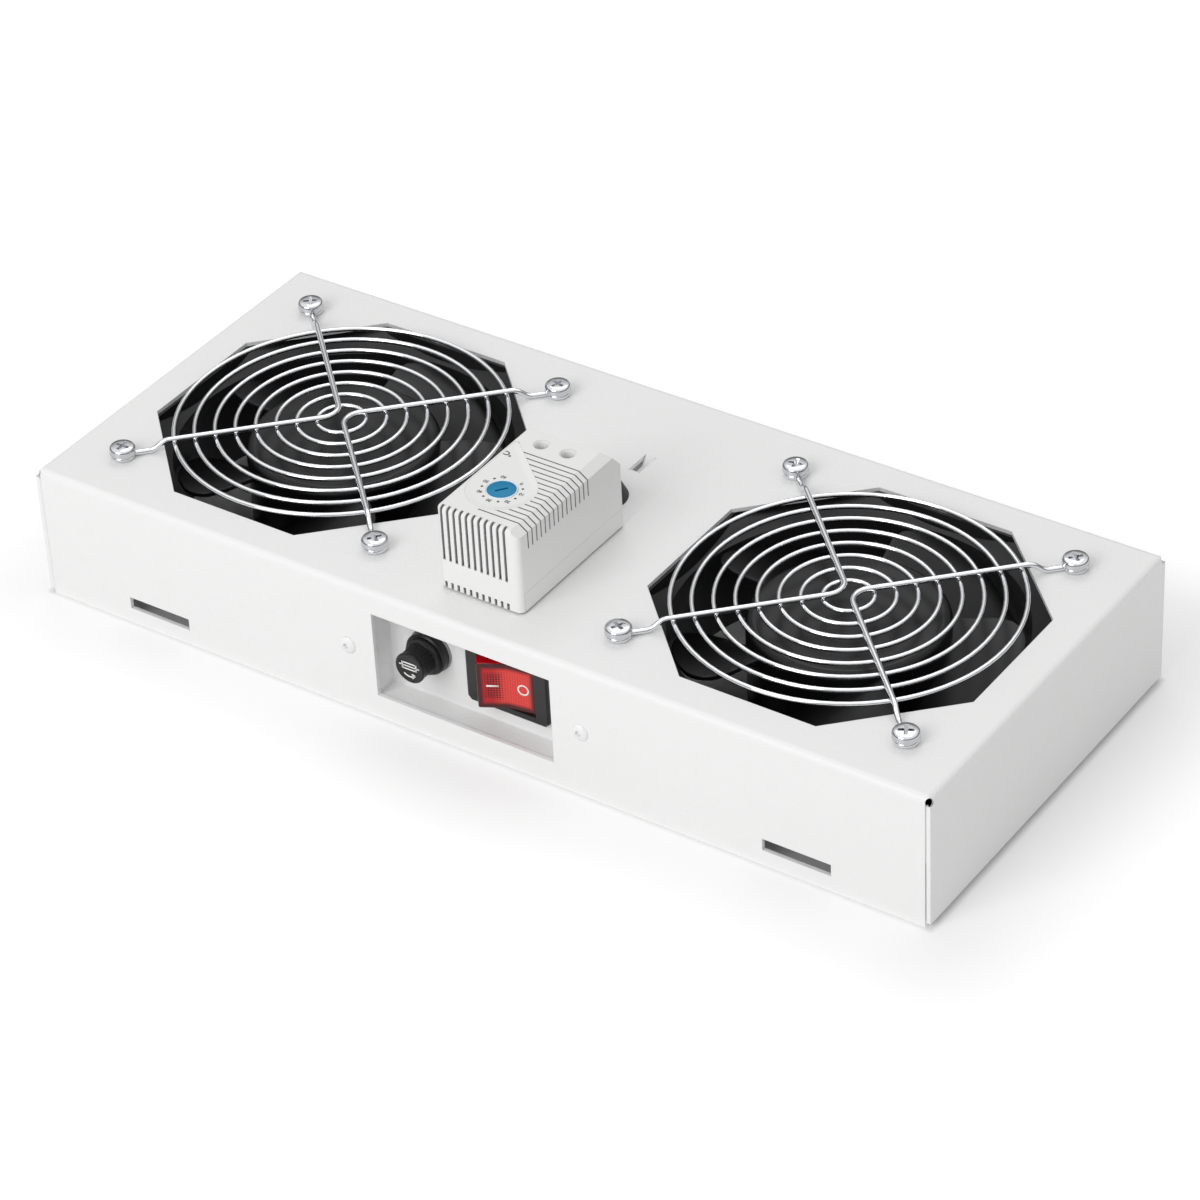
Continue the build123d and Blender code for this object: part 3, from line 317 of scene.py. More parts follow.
# %% Dark hollows
def shade_hollows(material, reach, dark):
    """Paints shade into narrow hollows; reach in metres."""
    tree = material.node_tree
    base = tree.nodes["Principled BSDF"].inputs["Base Color"]
    open_sky = add_node(tree, "ShaderNodeAmbientOcclusion", samples=8)
    open_sky.inputs["Distance"].default_value = reach
    how_open = add_node(tree, "ShaderNodeMapRange")
    how_open.inputs["From Min"].default_value = 0.42
    how_open.inputs["From Max"].default_value = 0.72
    shade = add_node(tree, "ShaderNodeMix", data_type="RGBA")
    shade.inputs["A"].default_value = (*dark, 1)
    wire(tree,
         (open_sky.outputs["AO"], how_open.inputs["Value"]),
         (how_open.outputs[0], shade.inputs["Factor"]),
         (base.links[0].from_socket, shade.inputs["B"]),
         (shade.outputs["Result"], base))


# Painted shade in the narrow grooves and slots of the thermostat's case.
shade_hollows(white_case, 0.0014, (0.26, 0.26, 0.255))
print("finishes:", len(bpy.data.materials))


# %% [markdown]
# ## Giving CAD pieces their finish
# Many CAD solids already have the right shape: folded sheet, flat plates and hidden works. They
# only need a finish. Their meshes stay as they are; just the material slot is filled.

# %% Finishes by node
def dress(node, material):
    """Puts a finish into the material slots of a CAD piece."""
    mesh = nodes[node].data
    mesh.materials.clear()
    mesh.materials.append(material)


for node, material in {
    "tray_housing": coat,
    "control_recess": shaded_recess_coat,
    "recess_rivets": coat,
    "lead_grommet": black_rubber,
    "fuse_holder": fuse_black,
    "fuse_holder_washer": grey_rubber,
    "fuse_holder_nut": fuse_black,
    "fuse_holder_contacts": tinned_brass,
    "fuse_cap": fuse_black,
    "fuse_end_caps": nickel,
    "switch_housing": black_moulding,
    "switch_terminals": tinned_brass,
    "thermostat_base": white_case,
    "thermostat_cover": white_case,
    "thermostat_dial": dial_blue,
    "thermostat_frame": nickel,
    "bimetal_strip": rolled_strip,
    "terminal_block": block_plastic,
    "terminal_screws": zinc,
    "thermostat_screws": zinc,
}.items():
    dress(node, material)
for side in ("left", "right"):
    dress(f"{side}_fan_frame", black_casting)
    dress(f"{side}_impeller", black_blade)
    dress(f"{side}_rotor_ring", plain_steel)
    dress(f"{side}_motor_shaft", ground_steel)
    dress(f"{side}_shaft_clip", ground_steel)
    dress(f"{side}_ball_bearings", ground_steel)
    dress(f"{side}_stator_core", stamped_steel)
    dress(f"{side}_stator_coils", copper_winding)
    dress(f"{side}_finger_guard", bright_wire)
    dress(f"{side}_guard_screws", zinc)
    dress(f"{side}_guard_nuts", zinc)

# %% [markdown]
# ## Clear pieces
# The fuse is a glass tube. Real glass lets light through and bends it, so this finish uses
# transmission; the shared tone drift gives it a faint green tint.

# %% Glass
clear_glass, glass_tree, glass_shader = new_material(
    "clear_glass", Roughness=0.03, IOR=1.5, Transmission_Weight=1.0)
glass_tint = use_group(glass_tree, drift, Tone=(0.94, 0.98, 0.97, 1), Amount=0.03, Scale=200.0)
glass_tree.links.new(glass_tint.outputs["Tone"], glass_shader.inputs["Base Color"])
dress("fuse_glass", clear_glass)

# %% [markdown]
# ## Lamp grid
# The rocker is clear red plastic over a fine grid that spreads the light of a lamp. The grid
# shows through the face, so it can be a colour pattern. Two cosine waves, one along each axis,
# add up to rows of round cells.

# %% Lamp grid
grid, at_in, at_out = new_group(
    "lamp_grid", [("Pitch", "Float", 0.0009)], [("Mask", "Float")])
place = add_node(grid, "ShaderNodeTexCoord")
split = add_node(grid, "ShaderNodeSeparateXYZ")
grid.links.new(place.outputs["Object"], split.inputs[0])
waves = []
for axis in ("X", "Y"):
    turns = add_node(grid, "ShaderNodeMath", operation="DIVIDE")
    full = add_node(grid, "ShaderNodeMath", operation="MULTIPLY")
    full.inputs[1].default_value = 2 * math.pi
    wave = add_node(grid, "ShaderNodeMath", operation="COSINE")
    wire(grid,
         (split.outputs[axis], turns.inputs[0]),
         (at_in.outputs["Pitch"], turns.inputs[1]),
         (turns.outputs[0], full.inputs[0]),
         (full.outputs[0], wave.inputs[0]))
    waves.append(wave)
cells = add_node(grid, "ShaderNodeMath", operation="ADD")
spread = add_node(grid, "ShaderNodeMapRange")
spread.inputs["From Min"].default_value = -1.2
spread.inputs["From Max"].default_value = 1.2
wire(grid,
     (waves[0].outputs[0], cells.inputs[0]),
     (waves[1].outputs[0], cells.inputs[1]),
     (cells.outputs[0], spread.inputs["Value"]),
     (spread.outputs[0], at_out.inputs["Mask"]))

# %% [markdown]
# ## Soft box
# A blurred rectangle in the piece's own coordinates. How far a point lies past each side of
# the rectangle is compared, and the greater of the two fades the mask out.

# %% Soft box
soft_box, at_in, at_out = new_group(
    "soft_box",
    [("Centre", "Vector", (0, 0, 0)), ("Half", "Vector", (0.005, 0.005, 1)),
     ("Blur", "Float", 0.001)],
    [("Inside", "Float")],
)
place = add_node(soft_box, "ShaderNodeTexCoord")
from_centre = add_node(soft_box, "ShaderNodeVectorMath", operation="SUBTRACT")
both_sides = add_node(soft_box, "ShaderNodeVectorMath", operation="ABSOLUTE")
past = add_node(soft_box, "ShaderNodeVectorMath", operation="SUBTRACT")
split = add_node(soft_box, "ShaderNodeSeparateXYZ")
furthest = add_node(soft_box, "ShaderNodeMath", operation="MAXIMUM")
fade = add_node(soft_box, "ShaderNodeMapRange", interpolation_type="SMOOTHSTEP")
fade.inputs["From Min"].default_value = 0.0
fade.inputs["To Min"].default_value = 1.0
fade.inputs["To Max"].default_value = 0.0
wire(soft_box,
     (place.outputs["Object"], from_centre.inputs[0]),
     (at_in.outputs["Centre"], from_centre.inputs[1]),
     (from_centre.outputs[0], both_sides.inputs[0]),
     (both_sides.outputs[0], past.inputs[0]),
     (at_in.outputs["Half"], past.inputs[1]),
     (past.outputs[0], split.inputs[0]),
     (split.outputs["X"], furthest.inputs[0]),
     (split.outputs["Y"], furthest.inputs[1]),
     (furthest.outputs[0], fade.inputs["Value"]),
     (at_in.outputs["Blur"], fade.inputs["From Max"]),
     (fade.outputs[0], at_out.inputs["Inside"]))

# %% [markdown]
# ## Red plastic over a lamp
# The reds are laid over each other, step by step: a painted pool of light on the lit patch, the
# grid, the dark window of the lamp, painted shade of the dark inside seen through the clear
# border, painted shade on the sides and painted shade along the edges. Each step mixes in one
# more tone where its mask says so.

# %% Red plastic over a lamp
rocker_red, red_tree, red_shader = new_material(
    "rocker_red", Roughness=0.2, IOR=1.49, Coat_Weight=0.1, Coat_Roughness=0.06,
    Specular_IOR_Level=0.3)


def red_step(colour, other, mask):
    """Mixes two reds; each may be a colour or a socket."""
    mix = add_node(red_tree, "ShaderNodeMix", data_type="RGBA")
    for name, value in (("A", colour), ("B", other)):
        if isinstance(value, tuple):
            mix.inputs[name].default_value = (*value, 1)
        else:
            red_tree.links.new(value, mix.inputs[name])
    red_tree.links.new(mask, mix.inputs["Factor"])
    return mix.outputs["Result"]


def product(first, second):
    """Two masks multiplied."""
    times = add_node(red_tree, "ShaderNodeMath", operation="MULTIPLY")
    red_tree.links.new(first, times.inputs[0])
    red_tree.links.new(second, times.inputs[1])
    return times.outputs[0]


cells = use_group(red_tree, grid, Pitch=0.0009)
# The lit patch is painted light: a paler red where light falls through the face.
lit_patch = use_group(red_tree, soft_box, Centre=(0.0034, 0, 0), Half=(0.0042, 0.0050, 1),
                      Blur=0.0045)
lamp_patch = use_group(red_tree, soft_box, Centre=(-0.0047, 0, 0), Half=(0.0017, 0.0040, 1),
                       Blur=0.0018)
clear_middle = use_group(red_tree, soft_box, Half=(0.0072, 0.0060, 1), Blur=0.0017)
face = red_step((0.56, 0.012, 0.018), (0.82, 0.066, 0.050), lit_patch.outputs["Inside"])
woven = red_step(face, (0.38, 0.010, 0.014), cells.outputs["Mask"])
soft_weave = add_node(red_tree, "ShaderNodeMix", data_type="RGBA")
soft_weave.inputs["Factor"].default_value = 0.45
red_tree.links.new(face, soft_weave.inputs["A"])
red_tree.links.new(woven, soft_weave.inputs["B"])
dotted = red_step(soft_weave.outputs["Result"], (0.060, 0.004, 0.006),
                  product(lamp_patch.outputs["Inside"], cells.outputs["Mask"]))
# Painted shade: the dark inside, seen through the clear border.
border_shaded_red = red_step((0.070, 0.008, 0.009), dotted, clear_middle.outputs["Inside"])
# Painted shade: the sides, found by their normal, are a darker red.
own_way = add_node(red_tree, "ShaderNodeTexCoord")
way_parts = add_node(red_tree, "ShaderNodeSeparateXYZ")
either_side = add_node(red_tree, "ShaderNodeMath", operation="ABSOLUTE")
side_shade_mask = add_node(red_tree, "ShaderNodeMapRange")
side_shade_mask.inputs["From Min"].default_value = 0.7
side_shade_mask.inputs["From Max"].default_value = 0.9
wire(red_tree,
     (own_way.outputs["Normal"], way_parts.inputs[0]),
     (way_parts.outputs["Y"], either_side.inputs[0]),
     (either_side.outputs[0], side_shade_mask.inputs["Value"]))
side_shaded_red = red_step(border_shaded_red, (0.52, 0.002, 0.010), side_shade_mask.outputs[0])
# Painted shade: a dark red along the edges, where the rim mask is.
red_edge = use_group(red_tree, soft_edge, Radius=0.0004)
edge_shaded_red = red_step(side_shaded_red, (0.15, 0.03, 0.03), red_edge.outputs["Rim"])
red_tree.links.new(edge_shaded_red, red_shader.inputs["Base Color"])
red_tree.links.new(red_edge.outputs["Normal"], red_shader.inputs["Normal"])
dress("switch_rocker", rocker_red)

# %% [markdown]
# ## Tools for finer pieces
# Round pieces are turned like wood on a lathe: a half outline is spun about an axis. Wire is a
# curve with a round bevel, so it stays round and light however it bends. A few small helpers
# link a finished mesh as a piece, let it ride on its body and let it stand for its CAD solid.

# %% Helpers for meshes
def add_piece(name, data, material, body, *stands_for, slot=None, place=None):
    """Links a mesh or curve as a piece that rides on a body and replaces CAD solids."""
    piece = bpy.data.objects.new(name, data)
    scene.collection.objects.link(piece)
    if place:
        piece.matrix_world = place
    data.materials.append(material)
    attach(piece, body)
    if stands_for:
        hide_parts(*stands_for)
    return piece


def mesh_from(name, work, angle=35):
    """Turns a bmesh into a mesh that is smooth except across sharp edges."""
    bmesh.ops.recalc_face_normals(work, faces=work.faces)
    mesh = bpy.data.meshes.new(name)
    work.to_mesh(mesh)
    work.free()
    mesh.shade_smooth()
    mesh.set_sharp_from_angle(angle=math.radians(angle))
    return mesh


def arc(centre, radius, start, end, count=8):
    """Points of an arc in the plane of a profile, angles in degrees."""
    steps = [math.radians(start + (end - start) * n / count) for n in range(count + 1)]
    return [(centre[0] + radius * math.cos(t), centre[1] + radius * math.sin(t)) for t in steps]


def lathe(name, profile, steps=72, ripple=None):
    """Spins (radius, height) points in mm about Z; ripple may change a radius round the turn."""
    work = bmesh.new()
    turns = [2 * math.pi * n / steps for n in range(steps)]
    rings = []
    for radius, height in profile:
        if radius == 0:
            rings.append([work.verts.new((0, 0, height * MM))])
            continue
        ring = []
        for turn in turns:
            reach = ripple(radius, height, turn) if ripple else radius
            spot = (reach * math.cos(turn), reach * math.sin(turn), height)
            ring.append(work.verts.new(Vector(spot) * MM))
        rings.append(ring)
    for low, high in zip(rings, rings[1:]):
        for n in range(steps):
            near, far = n, (n + 1) % steps
            corners = [low[near % len(low)], low[far % len(low)],
                       high[far % len(high)], high[near % len(high)]]
            corners = list(dict.fromkeys(corners))
            if len(corners) > 2:
                work.faces.new(corners)
    return mesh_from(name, work)


def joined(name, copies):
    """One mesh from several (mesh, matrix) pairs."""
    work = bmesh.new()
    for mesh, place in copies:
        copy = mesh.copy()
        copy.transform(place)
        work.from_mesh(copy)
        bpy.data.meshes.remove(copy)
    whole = bpy.data.meshes.new(name)
    work.to_mesh(whole)
    work.free()
    return whole


def at(x, y, z, turn=0):
    """A place in mm, turned about Z by degrees."""
    return Matrix.Translation(Vector((x, y, z)) * MM) @ Matrix.Rotation(math.radians(turn), 4, "Z")


# %% [markdown]
# ## Wire guards
# Each guard is eight rings of wire, welded under two arms. An arm is one wire from screw to
# screw: it climbs from the plate, runs to the middle, turns there through a right angle and goes
# out to the next screw, where it is curled into an eye. Curves suit this best, because the bevel
# keeps the wire round through every bend. A ring needs only four Bezier points.

# %% Wire guards
FAN_X = 100.0
PLATE_TOP = 50.0
SCREW_REACH = 105.0 / math.sqrt(2)
RINGS, FIRST_RING, RING_STEP = 8, 8.25, 6.9
RING_WIRE, ARM_WIRE = 1.65, 2.0
RING_HEIGHT = 2.55
LOW, HIGH = 1.0, 4.2
EYE = 3.2


def wire_curve(name, thickness):
    """An empty curve with a round bevel."""
    curve = bpy.data.curves.new(name, "CURVE")
    curve.dimensions = "3D"
    curve.bevel_depth = thickness / 2 * MM
    curve.bevel_resolution = 4
    curve.resolution_u = 20
    return curve


def add_loop(curve, radius, centre):
    """A closed ring: four points whose handles are 0.5523 of the radius long."""
    loop = curve.splines.new("BEZIER")
    loop.bezier_points.add(3)
    loop.use_cyclic_u = True
    for n, point in enumerate(loop.bezier_points):
        turn = n * math.pi / 2
        out = Vector((math.cos(turn), math.sin(turn), 0)) * radius
        along = Vector((-math.sin(turn), math.cos(turn), 0)) * radius * 0.5523
        point.co = (centre + out) * MM
        point.handle_left = (centre + out - along) * MM
        point.handle_right = (centre + out + along) * MM


def add_bent(curve, corners, bends):
    """An open wire of straight runs; each inner corner is rounded over the given length."""
    spots = [(corners[0], corners[0], corners[0])]
    for before, corner, after, bend in zip(corners, corners[1:], corners[2:], bends):
        back = (before - corner).normalized() * bend
        on = (after - corner).normalized() * bend
        spots.append((corner + back, corner + back, corner + back * 0.4477))
        spots.append((corner + on, corner + on * 0.4477, corner + on))
    spots.append((corners[-1], corners[-1], corners[-1]))
    wire = curve.splines.new("BEZIER")
    wire.bezier_points.add(len(spots) - 1)
    for point, (co, left, right) in zip(wire.bezier_points, spots):
        point.co, point.handle_left, point.handle_right = co * MM, left * MM, right * MM


for side, sign in (("left", -1), ("right", 1)):
    middle = Vector((sign * FAN_X, 0, PLATE_TOP))
    rings = wire_curve(f"{side}_guard_rings", RING_WIRE)
    for n in range(RINGS):
        add_loop(rings, FIRST_RING + RING_STEP * n, middle + Vector((0, 0, RING_HEIGHT)))
    arms = wire_curve(f"{side}_guard_arms", ARM_WIRE)
    for turn in (0, 180):
        outward = [Vector((math.cos(math.radians(a)), math.sin(math.radians(a)), 0))
                   for a in (turn - 45, turn + 45)]
        path = [(SCREW_REACH - EYE, LOW), (64.05, LOW), (60.0, HIGH)]
        corners = [middle + outward[0] * r + Vector((0, 0, z)) for r, z in path]
        corners.append(middle + Vector((0, 0, HIGH)))
        corners += [middle + outward[1] * r + Vector((0, 0, z)) for r, z in reversed(path)]
        add_bent(arms, corners, (1.6, 1.6, 6.5, 1.6, 1.6))
        for way in outward:
            add_loop(arms, EYE, middle + way * SCREW_REACH + Vector((0, 0, LOW)))
    for curve in (rings, arms):
        add_piece(curve.name, curve, bright_wire, "tray", f"{side}_finger_guard",
                  slot="guard_chrome")
print("guard wires:", len(rings.splines), "rings and", len(arms.splines), "bent wires each")

# %% [markdown]
# ## Guard screws
# A cross-head screw with a domed head holds each corner of the guard. The head is turned on the
# lathe, and the cross is cut out with a Boolean modifier, which gives the crisp edges that catch
# the light. One screw is made, and its copies are turned by different angles, as no one lines up
# screws by hand.

# %% Guard screws
def cut(name, mesh, cutter, angle=35):
    """The mesh with the cutter taken away from it."""
    keep = bpy.data.objects.new("keep", mesh)
    tool = bpy.data.objects.new("tool", cutter)
    scene.collection.objects.link(keep)
    scene.collection.objects.link(tool)
    boolean = keep.modifiers.new("cut", "BOOLEAN")
    boolean.operation = "DIFFERENCE"
    boolean.solver = "EXACT"
    boolean.use_self = True
    boolean.object = tool
    bpy.context.view_layer.update()
    result = bpy.data.meshes.new_from_object(
        keep.evaluated_get(bpy.context.evaluated_depsgraph_get()))
    bpy.data.objects.remove(keep)
    bpy.data.objects.remove(tool)
    result.name = name
    result.shade_smooth()
    result.set_sharp_from_angle(angle=math.radians(angle))
    return result


def cross_cutter(length, width, depth, top):
    """Two crossed bars that get smaller downwards, as the tip of a screwdriver does."""
    work = bmesh.new()
    for turn in (0, 90):
        bar = bmesh.ops.create_cube(work, size=1)["verts"]
        for corner in bar:
            low = corner.co.z < 0
            corner.co.x *= length * (0.45 if low else 1.05)
            corner.co.y *= width * (0.6 if low else 1.05)
            corner.co.z = top - depth if low else top + 0.4
        bmesh.ops.rotate(work, verts=bar, matrix=Matrix.Rotation(math.radians(turn), 3, "Z"))
    bmesh.ops.scale(work, verts=work.verts, vec=(MM, MM, MM))
    return mesh_from("cross_cutter", work)


def screw_mesh(name, head, rise, shank, length):
    """A domed screw that stands on the origin, its shank below."""
    dome = arc((head / 2 - 1.3, rise - 1.3), 1.3, 0, 65, 7)
    profile = [(0, -length), (shank / 2 - 0.4, -length), (shank / 2, -length + 0.5),
               (shank / 2, -0.01), (head / 2 - 0.15, 0), (head / 2, 0.15)] + dome
    profile += [(head / 4, rise - 0.05), (0, rise)]
    return lathe(name, profile, 48)


plain_screw = screw_mesh("plain_screw", 9.0, 2.7, 4.0, 14.0)
cross_screw = cut("cross_screw", plain_screw, cross_cutter(5.4, 1.2, 2.0, 2.7))
for side, sign in (("left", -1), ("right", 1)):
    copies = []
    for n in range(4):
        way = math.radians(45 + 90 * n)
        x = sign * FAN_X + SCREW_REACH * math.cos(way)
        y = SCREW_REACH * math.sin(way)
        copies.append((cross_screw, at(x, y, PLATE_TOP + 2.0, 17 + 53 * n + 31 * sign)))
    add_piece(f"{side}_cross_screws", joined(f"{side}_cross_screws", copies), zinc, "tray",
              f"{side}_guard_screws", slot="screw_steel")
print("faces in one screw:", len(cross_screw.polygons))

# %% [markdown]
# ## Impellers
# The hub is a cup with a softly rounded upper rim. Five wide blades stand round it, each twisted
# like a propeller: one side edge is high and the other is low. A blade is a grid of points. Its
# place round the hub and its height follow the same number, so the sheet climbs as it turns, and
# its tip corners are rounded by pulling in the outer rows. Solidify gives the sheet its thickness.

# %% Impellers
HUB = 33.0
BLADE_REACH = 56.7
SWEEP = math.radians(64)
BLADE_MIDDLE, BLADE_CLIMB, BLADE_BOW = -17.2, 11.5, 3.0


def blade_mesh(name):
    """One blade, its middle on the X axis, heights from the plate's underside in mm."""
    work = bmesh.new()
    rows, columns = 14, 30
    grid = []
    for row in range(rows + 1):
        line = []
        for column in range(columns + 1):
            across = 2 * column / columns - 1
            corner = max(0.0, abs(across) - 0.62) / 0.38
            outer = BLADE_REACH - 10.5 * (1 - math.sqrt(max(0.0, 1 - corner ** 2)))
            reach = HUB - 1.2 + (outer - HUB + 1.2) * row / rows
            turn = across * SWEEP / 2
            height = BLADE_MIDDLE + BLADE_CLIMB * across + BLADE_BOW * (1 - across ** 2)
            spot = (reach * math.cos(turn), reach * math.sin(turn), height)
            line.append(work.verts.new(Vector(spot) * MM))
        grid.append(line)
    for low, high in zip(grid, grid[1:]):
        for n in range(columns):
            work.faces.new((low[n], low[n + 1], high[n + 1], high[n]))
    return mesh_from(name, work)


hub_profile = [(0, -3.2), (22, -3.1)] + arc((30, -5.6), 3.0, 90, 0, 10)
hub_profile += [(33, -30.4), (31.2, -30.4), (31.2, -6.2), (30, -4.6), (6.5, -4.6), (6.5, -9.6)]
hub_profile += [(2.02, -9.6), (2.02, -4.4), (0, -4.4)]
hub = lathe("hub_cup", hub_profile, 96)
sheet = blade_mesh("blade_sheet")
for side, sign in (("left", -1), ("right", 1)):
    fan_top = at(sign * FAN_X, 0, PLATE_TOP - 1.5)
    add_piece(f"{side}_hub", joined(f"{side}_hub", [(hub, fan_top)]), black_blade,
              f"{side}_rotor", f"{side}_impeller", slot="impeller_black")
    copies = [(sheet, fan_top @ Matrix.Rotation(math.radians(72 * n), 4, "Z")) for n in range(5)]
    blades = add_piece(f"{side}_blades", joined(f"{side}_blades", copies), black_blade,
                       f"{side}_rotor", f"{side}_impeller", slot="impeller_black")
    thick = blades.modifiers.new("thickness", "SOLIDIFY")
    thick.thickness = 1.6 * MM
    thick.offset = 0
    soft = blades.modifiers.new("round_edges", "BEVEL")
    soft.width = 0.5 * MM
    soft.segments = 3
    soft.limit_method = "ANGLE"
print("blade faces:", len(sheet.polygons), "hub faces:", len(hub.polygons))

# %% [markdown]
# ## Rivets
# Two blind rivets hold the recess box, and they were painted with the tray. The head is a low
# dome round the end of its broken pin, which sits in a small dark hollow.

# %% Rivets
def facing_front(x, y, z, turn=0):
    """A place in mm whose Z axis points out of the front wall."""
    spot = Matrix.Translation(Vector((x, y, z)) * MM)
    return spot @ Matrix.Rotation(math.pi / 2, 4, "X") @ Matrix.Rotation(math.radians(turn), 4, "Z")


rivet_profile = [(0, 0.35), (0.75, 0.35), (0.8, 0.1), (0.95, 0.1), (1.0, 1.0)]
rivet_profile += [(1.2, 1.1), (2.0, 0.98), (2.7, 0.62), (3.1, 0.28), (3.25, 0.02), (3.25, 0)]
rivet_profile += [(1.55, 0), (1.55, -2.6), (2.3, -3.4), (2.3, -4.8), (1.5, -5.6), (0, -5.6)]
rivet = lathe("rivet_shape", rivet_profile, 40)
rivets = joined("painted_rivets", [(rivet, facing_front(x, -73.5, 25.3)) for x in (-45.5, 45.5)])
add_piece("painted_rivets", rivets, coat, "tray", "recess_rivets", slot="rivet_aluminium")

# %% [markdown]
# ## Fuse cap
# The cap is turned by hand, so its grip has fine ribs, and the flange behind it has a row of
# small teeth. On the lathe the radius may ripple with the turn, which makes both in one pass.

# %% Fuse cap
FUSE = (-19.2, 26.9)
PANEL_Y = -63.2


def grip(radius, height, turn):
    """Ribs on the body and finer teeth on the edge of the flange."""
    if 1.75 < height < 6.9 and radius > 4:
        return radius - 0.16 * (0.5 + 0.5 * math.cos(48 * turn))
    if 0.6 < height < 1.7 and radius > 6:
        return radius - 0.16 * (0.5 + 0.5 * math.cos(72 * turn))
    return radius


cap_profile = [(2.65, -11.0), (2.65, -6.0), (0, -6.0)]
cap_outer = [(2.65, -11.0), (4.4, -11.0), (4.5, -10.9), (4.5, -0.05), (6.55, 0.0), (6.7, 0.12),
             (6.7, 0.55), (6.7, 0.7), (6.7, 1.15), (6.45, 1.4), (5.9, 1.5), (5.75, 1.8),
             (5.55, 3.2), (5.4, 5.0), (5.4, 6.8), (5.5, 7.0), (5.6, 7.2)]
cap_outer += arc((5.3, 7.9), 0.3, 0, 80, 4) + [(4.95, 8.32), (4.85, 8.22), (4.7, 8.2), (0, 8.2)]
cap = lathe("cap_shape", list(reversed(cap_profile)) + cap_outer[1:], 432, grip)
cap.transform(facing_front(FUSE[0], PANEL_Y - 4.05, FUSE[1]))
add_piece("ribbed_cap", cap, fuse_black, "fuse_carrier", "fuse_cap", slot="black_plastic")

# %% [markdown]
# ## Marks on the fuse cap
# White marks on the face say what it is: the general sign for a fuse, and an arrow for the
# turn. A mark is a flat stroke of even width with a little thickness, like pad-printed ink. It
# lies just over the face, so that it never flickers against it.

# %% Marks on the fuse cap
def ribbon(work, points, width, closed=False):
    """A flat stroke of even width through points in mm, added to a bmesh."""
    count = len(points)
    pairs = []
    for n, (x, y) in enumerate(points):
        before = points[n - 1] if n or closed else points[n]
        after = points[(n + 1) % count] if n + 1 < count or closed else points[n]
        way = Vector((after[0] - before[0], after[1] - before[1])).normalized()
        off = Vector((-way.y, way.x)) * width / 2
        pairs.append([work.verts.new(Vector((x + s * off.x, y + s * off.y, 0)) * MM)
                      for s in (-1, 1)])
    last = count if closed else count - 1
    for n in range(last):
        here, there = pairs[n], pairs[(n + 1) % count]
        work.faces.new((here[0], there[0], there[1], here[1]))


INK_LIFT, INK_HALF = 0.04, 0.03


def printed(name, work, place, body, material, depth=0.07):
    """Strokes as a thin layer of ink on a face; the ink is a real, very thin solid."""
    mesh = mesh_from(name, work)
    mesh.transform(place @ Matrix.Translation((0, 0, INK_LIFT * MM)))
    ink = add_piece(name, mesh, material, body)
    layer = ink.modifiers.new("ink_depth", "SOLIDIFY")
    layer.thickness = depth * MM
    layer.offset = 0
    return ink


white_ink = finish("white_ink", (0.95, 0.95, 0.93), 0.5, 3000, 0.000001, amount=0.02,
                   edge=0.00001)
marks = bmesh.new()
ribbon(marks, [(-2.7, -0.25), (2.7, -0.25)], 0.5)
ribbon(marks, [(-2.7, 2.05), (2.7, 2.05)], 0.5)
ribbon(marks, [(-2.7, -0.5), (-2.7, 2.3)], 0.5)
ribbon(marks, [(2.7, -0.5), (2.7, 2.3)], 0.5)
ribbon(marks, [(-4.0, 0.9), (4.0, 0.9)], 0.45)
ribbon(marks, arc((0, 0), 3.1, 225, 300, 12), 0.5)
ribbon(marks, [(1.0, -3.6), (2.15, -2.2)], 0.5)
ribbon(marks, [(0.8, -2.0), (2.15, -2.2)], 0.5)
printed("fuse_marks", marks, facing_front(FUSE[0], PANEL_Y - 12.25, FUSE[1]), "fuse_carrier",
        white_ink)

# %% [markdown]
# ## Rocker
# The rocker's side outline is a curve: two slopes that meet in a soft valley, and round ends about
# the pivot. It is drawn flat, given its height, and its edges are rounded by a bevel. It is made
# level and then tipped by its object matrix, so its colours can be placed in its own directions.
# Above it the bezel has a lip that closes the well.

# %% Rocker
SWITCH_X = 11.6
ROCKER_MIDDLE = 25.6
TIPPED = Matrix.Rotation(math.radians(18), 4, "Y")


def slab_mesh(name, outline, half):
    """A closed outline of (x, z) points in mm, given its height both ways along Y."""
    work = bmesh.new()
    low, high = ([work.verts.new(Vector((x, way * half, z)) * MM) for x, z in outline]
                 for way in (-1, 1))
    work.faces.new(low)
    work.faces.new(list(reversed(high)))
    for n in range(len(outline)):
        after = (n + 1) % len(outline)
        work.faces.new((low[n], high[n], high[after], low[after]))
    return mesh_from(name, work)


outline = arc((0, 10.96), 8.0, 260, 280, 6) + arc((0, 0), 10.8, 25, -25, 10)
outline += [(3.78, -8.1), (-3.78, -8.1)] + arc((0, 0), 10.8, 205, 155, 10)
rocker = add_piece("clear_rocker", slab_mesh("clear_rocker", outline, 8.9), rocker_red, "rocker",
                   "switch_rocker", slot="rocker_red",
                   place=facing_front(SWITCH_X, PANEL_Y + 0.3, ROCKER_MIDDLE) @ TIPPED)
rocker_edges = rocker.modifiers.new("round_edges", "BEVEL")
rocker_edges.width = 0.45 * MM
rocker_edges.segments = 3
rocker_edges.limit_method = "ANGLE"
rocker_edges.angle_limit = math.radians(40)
lip = slab_mesh("well_lip", [(-10.7, -6.0), (10.7, -6.0), (10.7, 2.1), (-10.7, 2.1)], 1.0)
lip.transform(facing_front(SWITCH_X, PANEL_Y, 35.8))
add_piece("well_lip", lip, black_moulding, "tray")

# %% [markdown]
# ## Corner beads
# Where two walls meet the sheet leaves a narrow seam. The paint has run into it: on the left
# front corner the seam is closed, on the right one only its upper half is, and less deep.

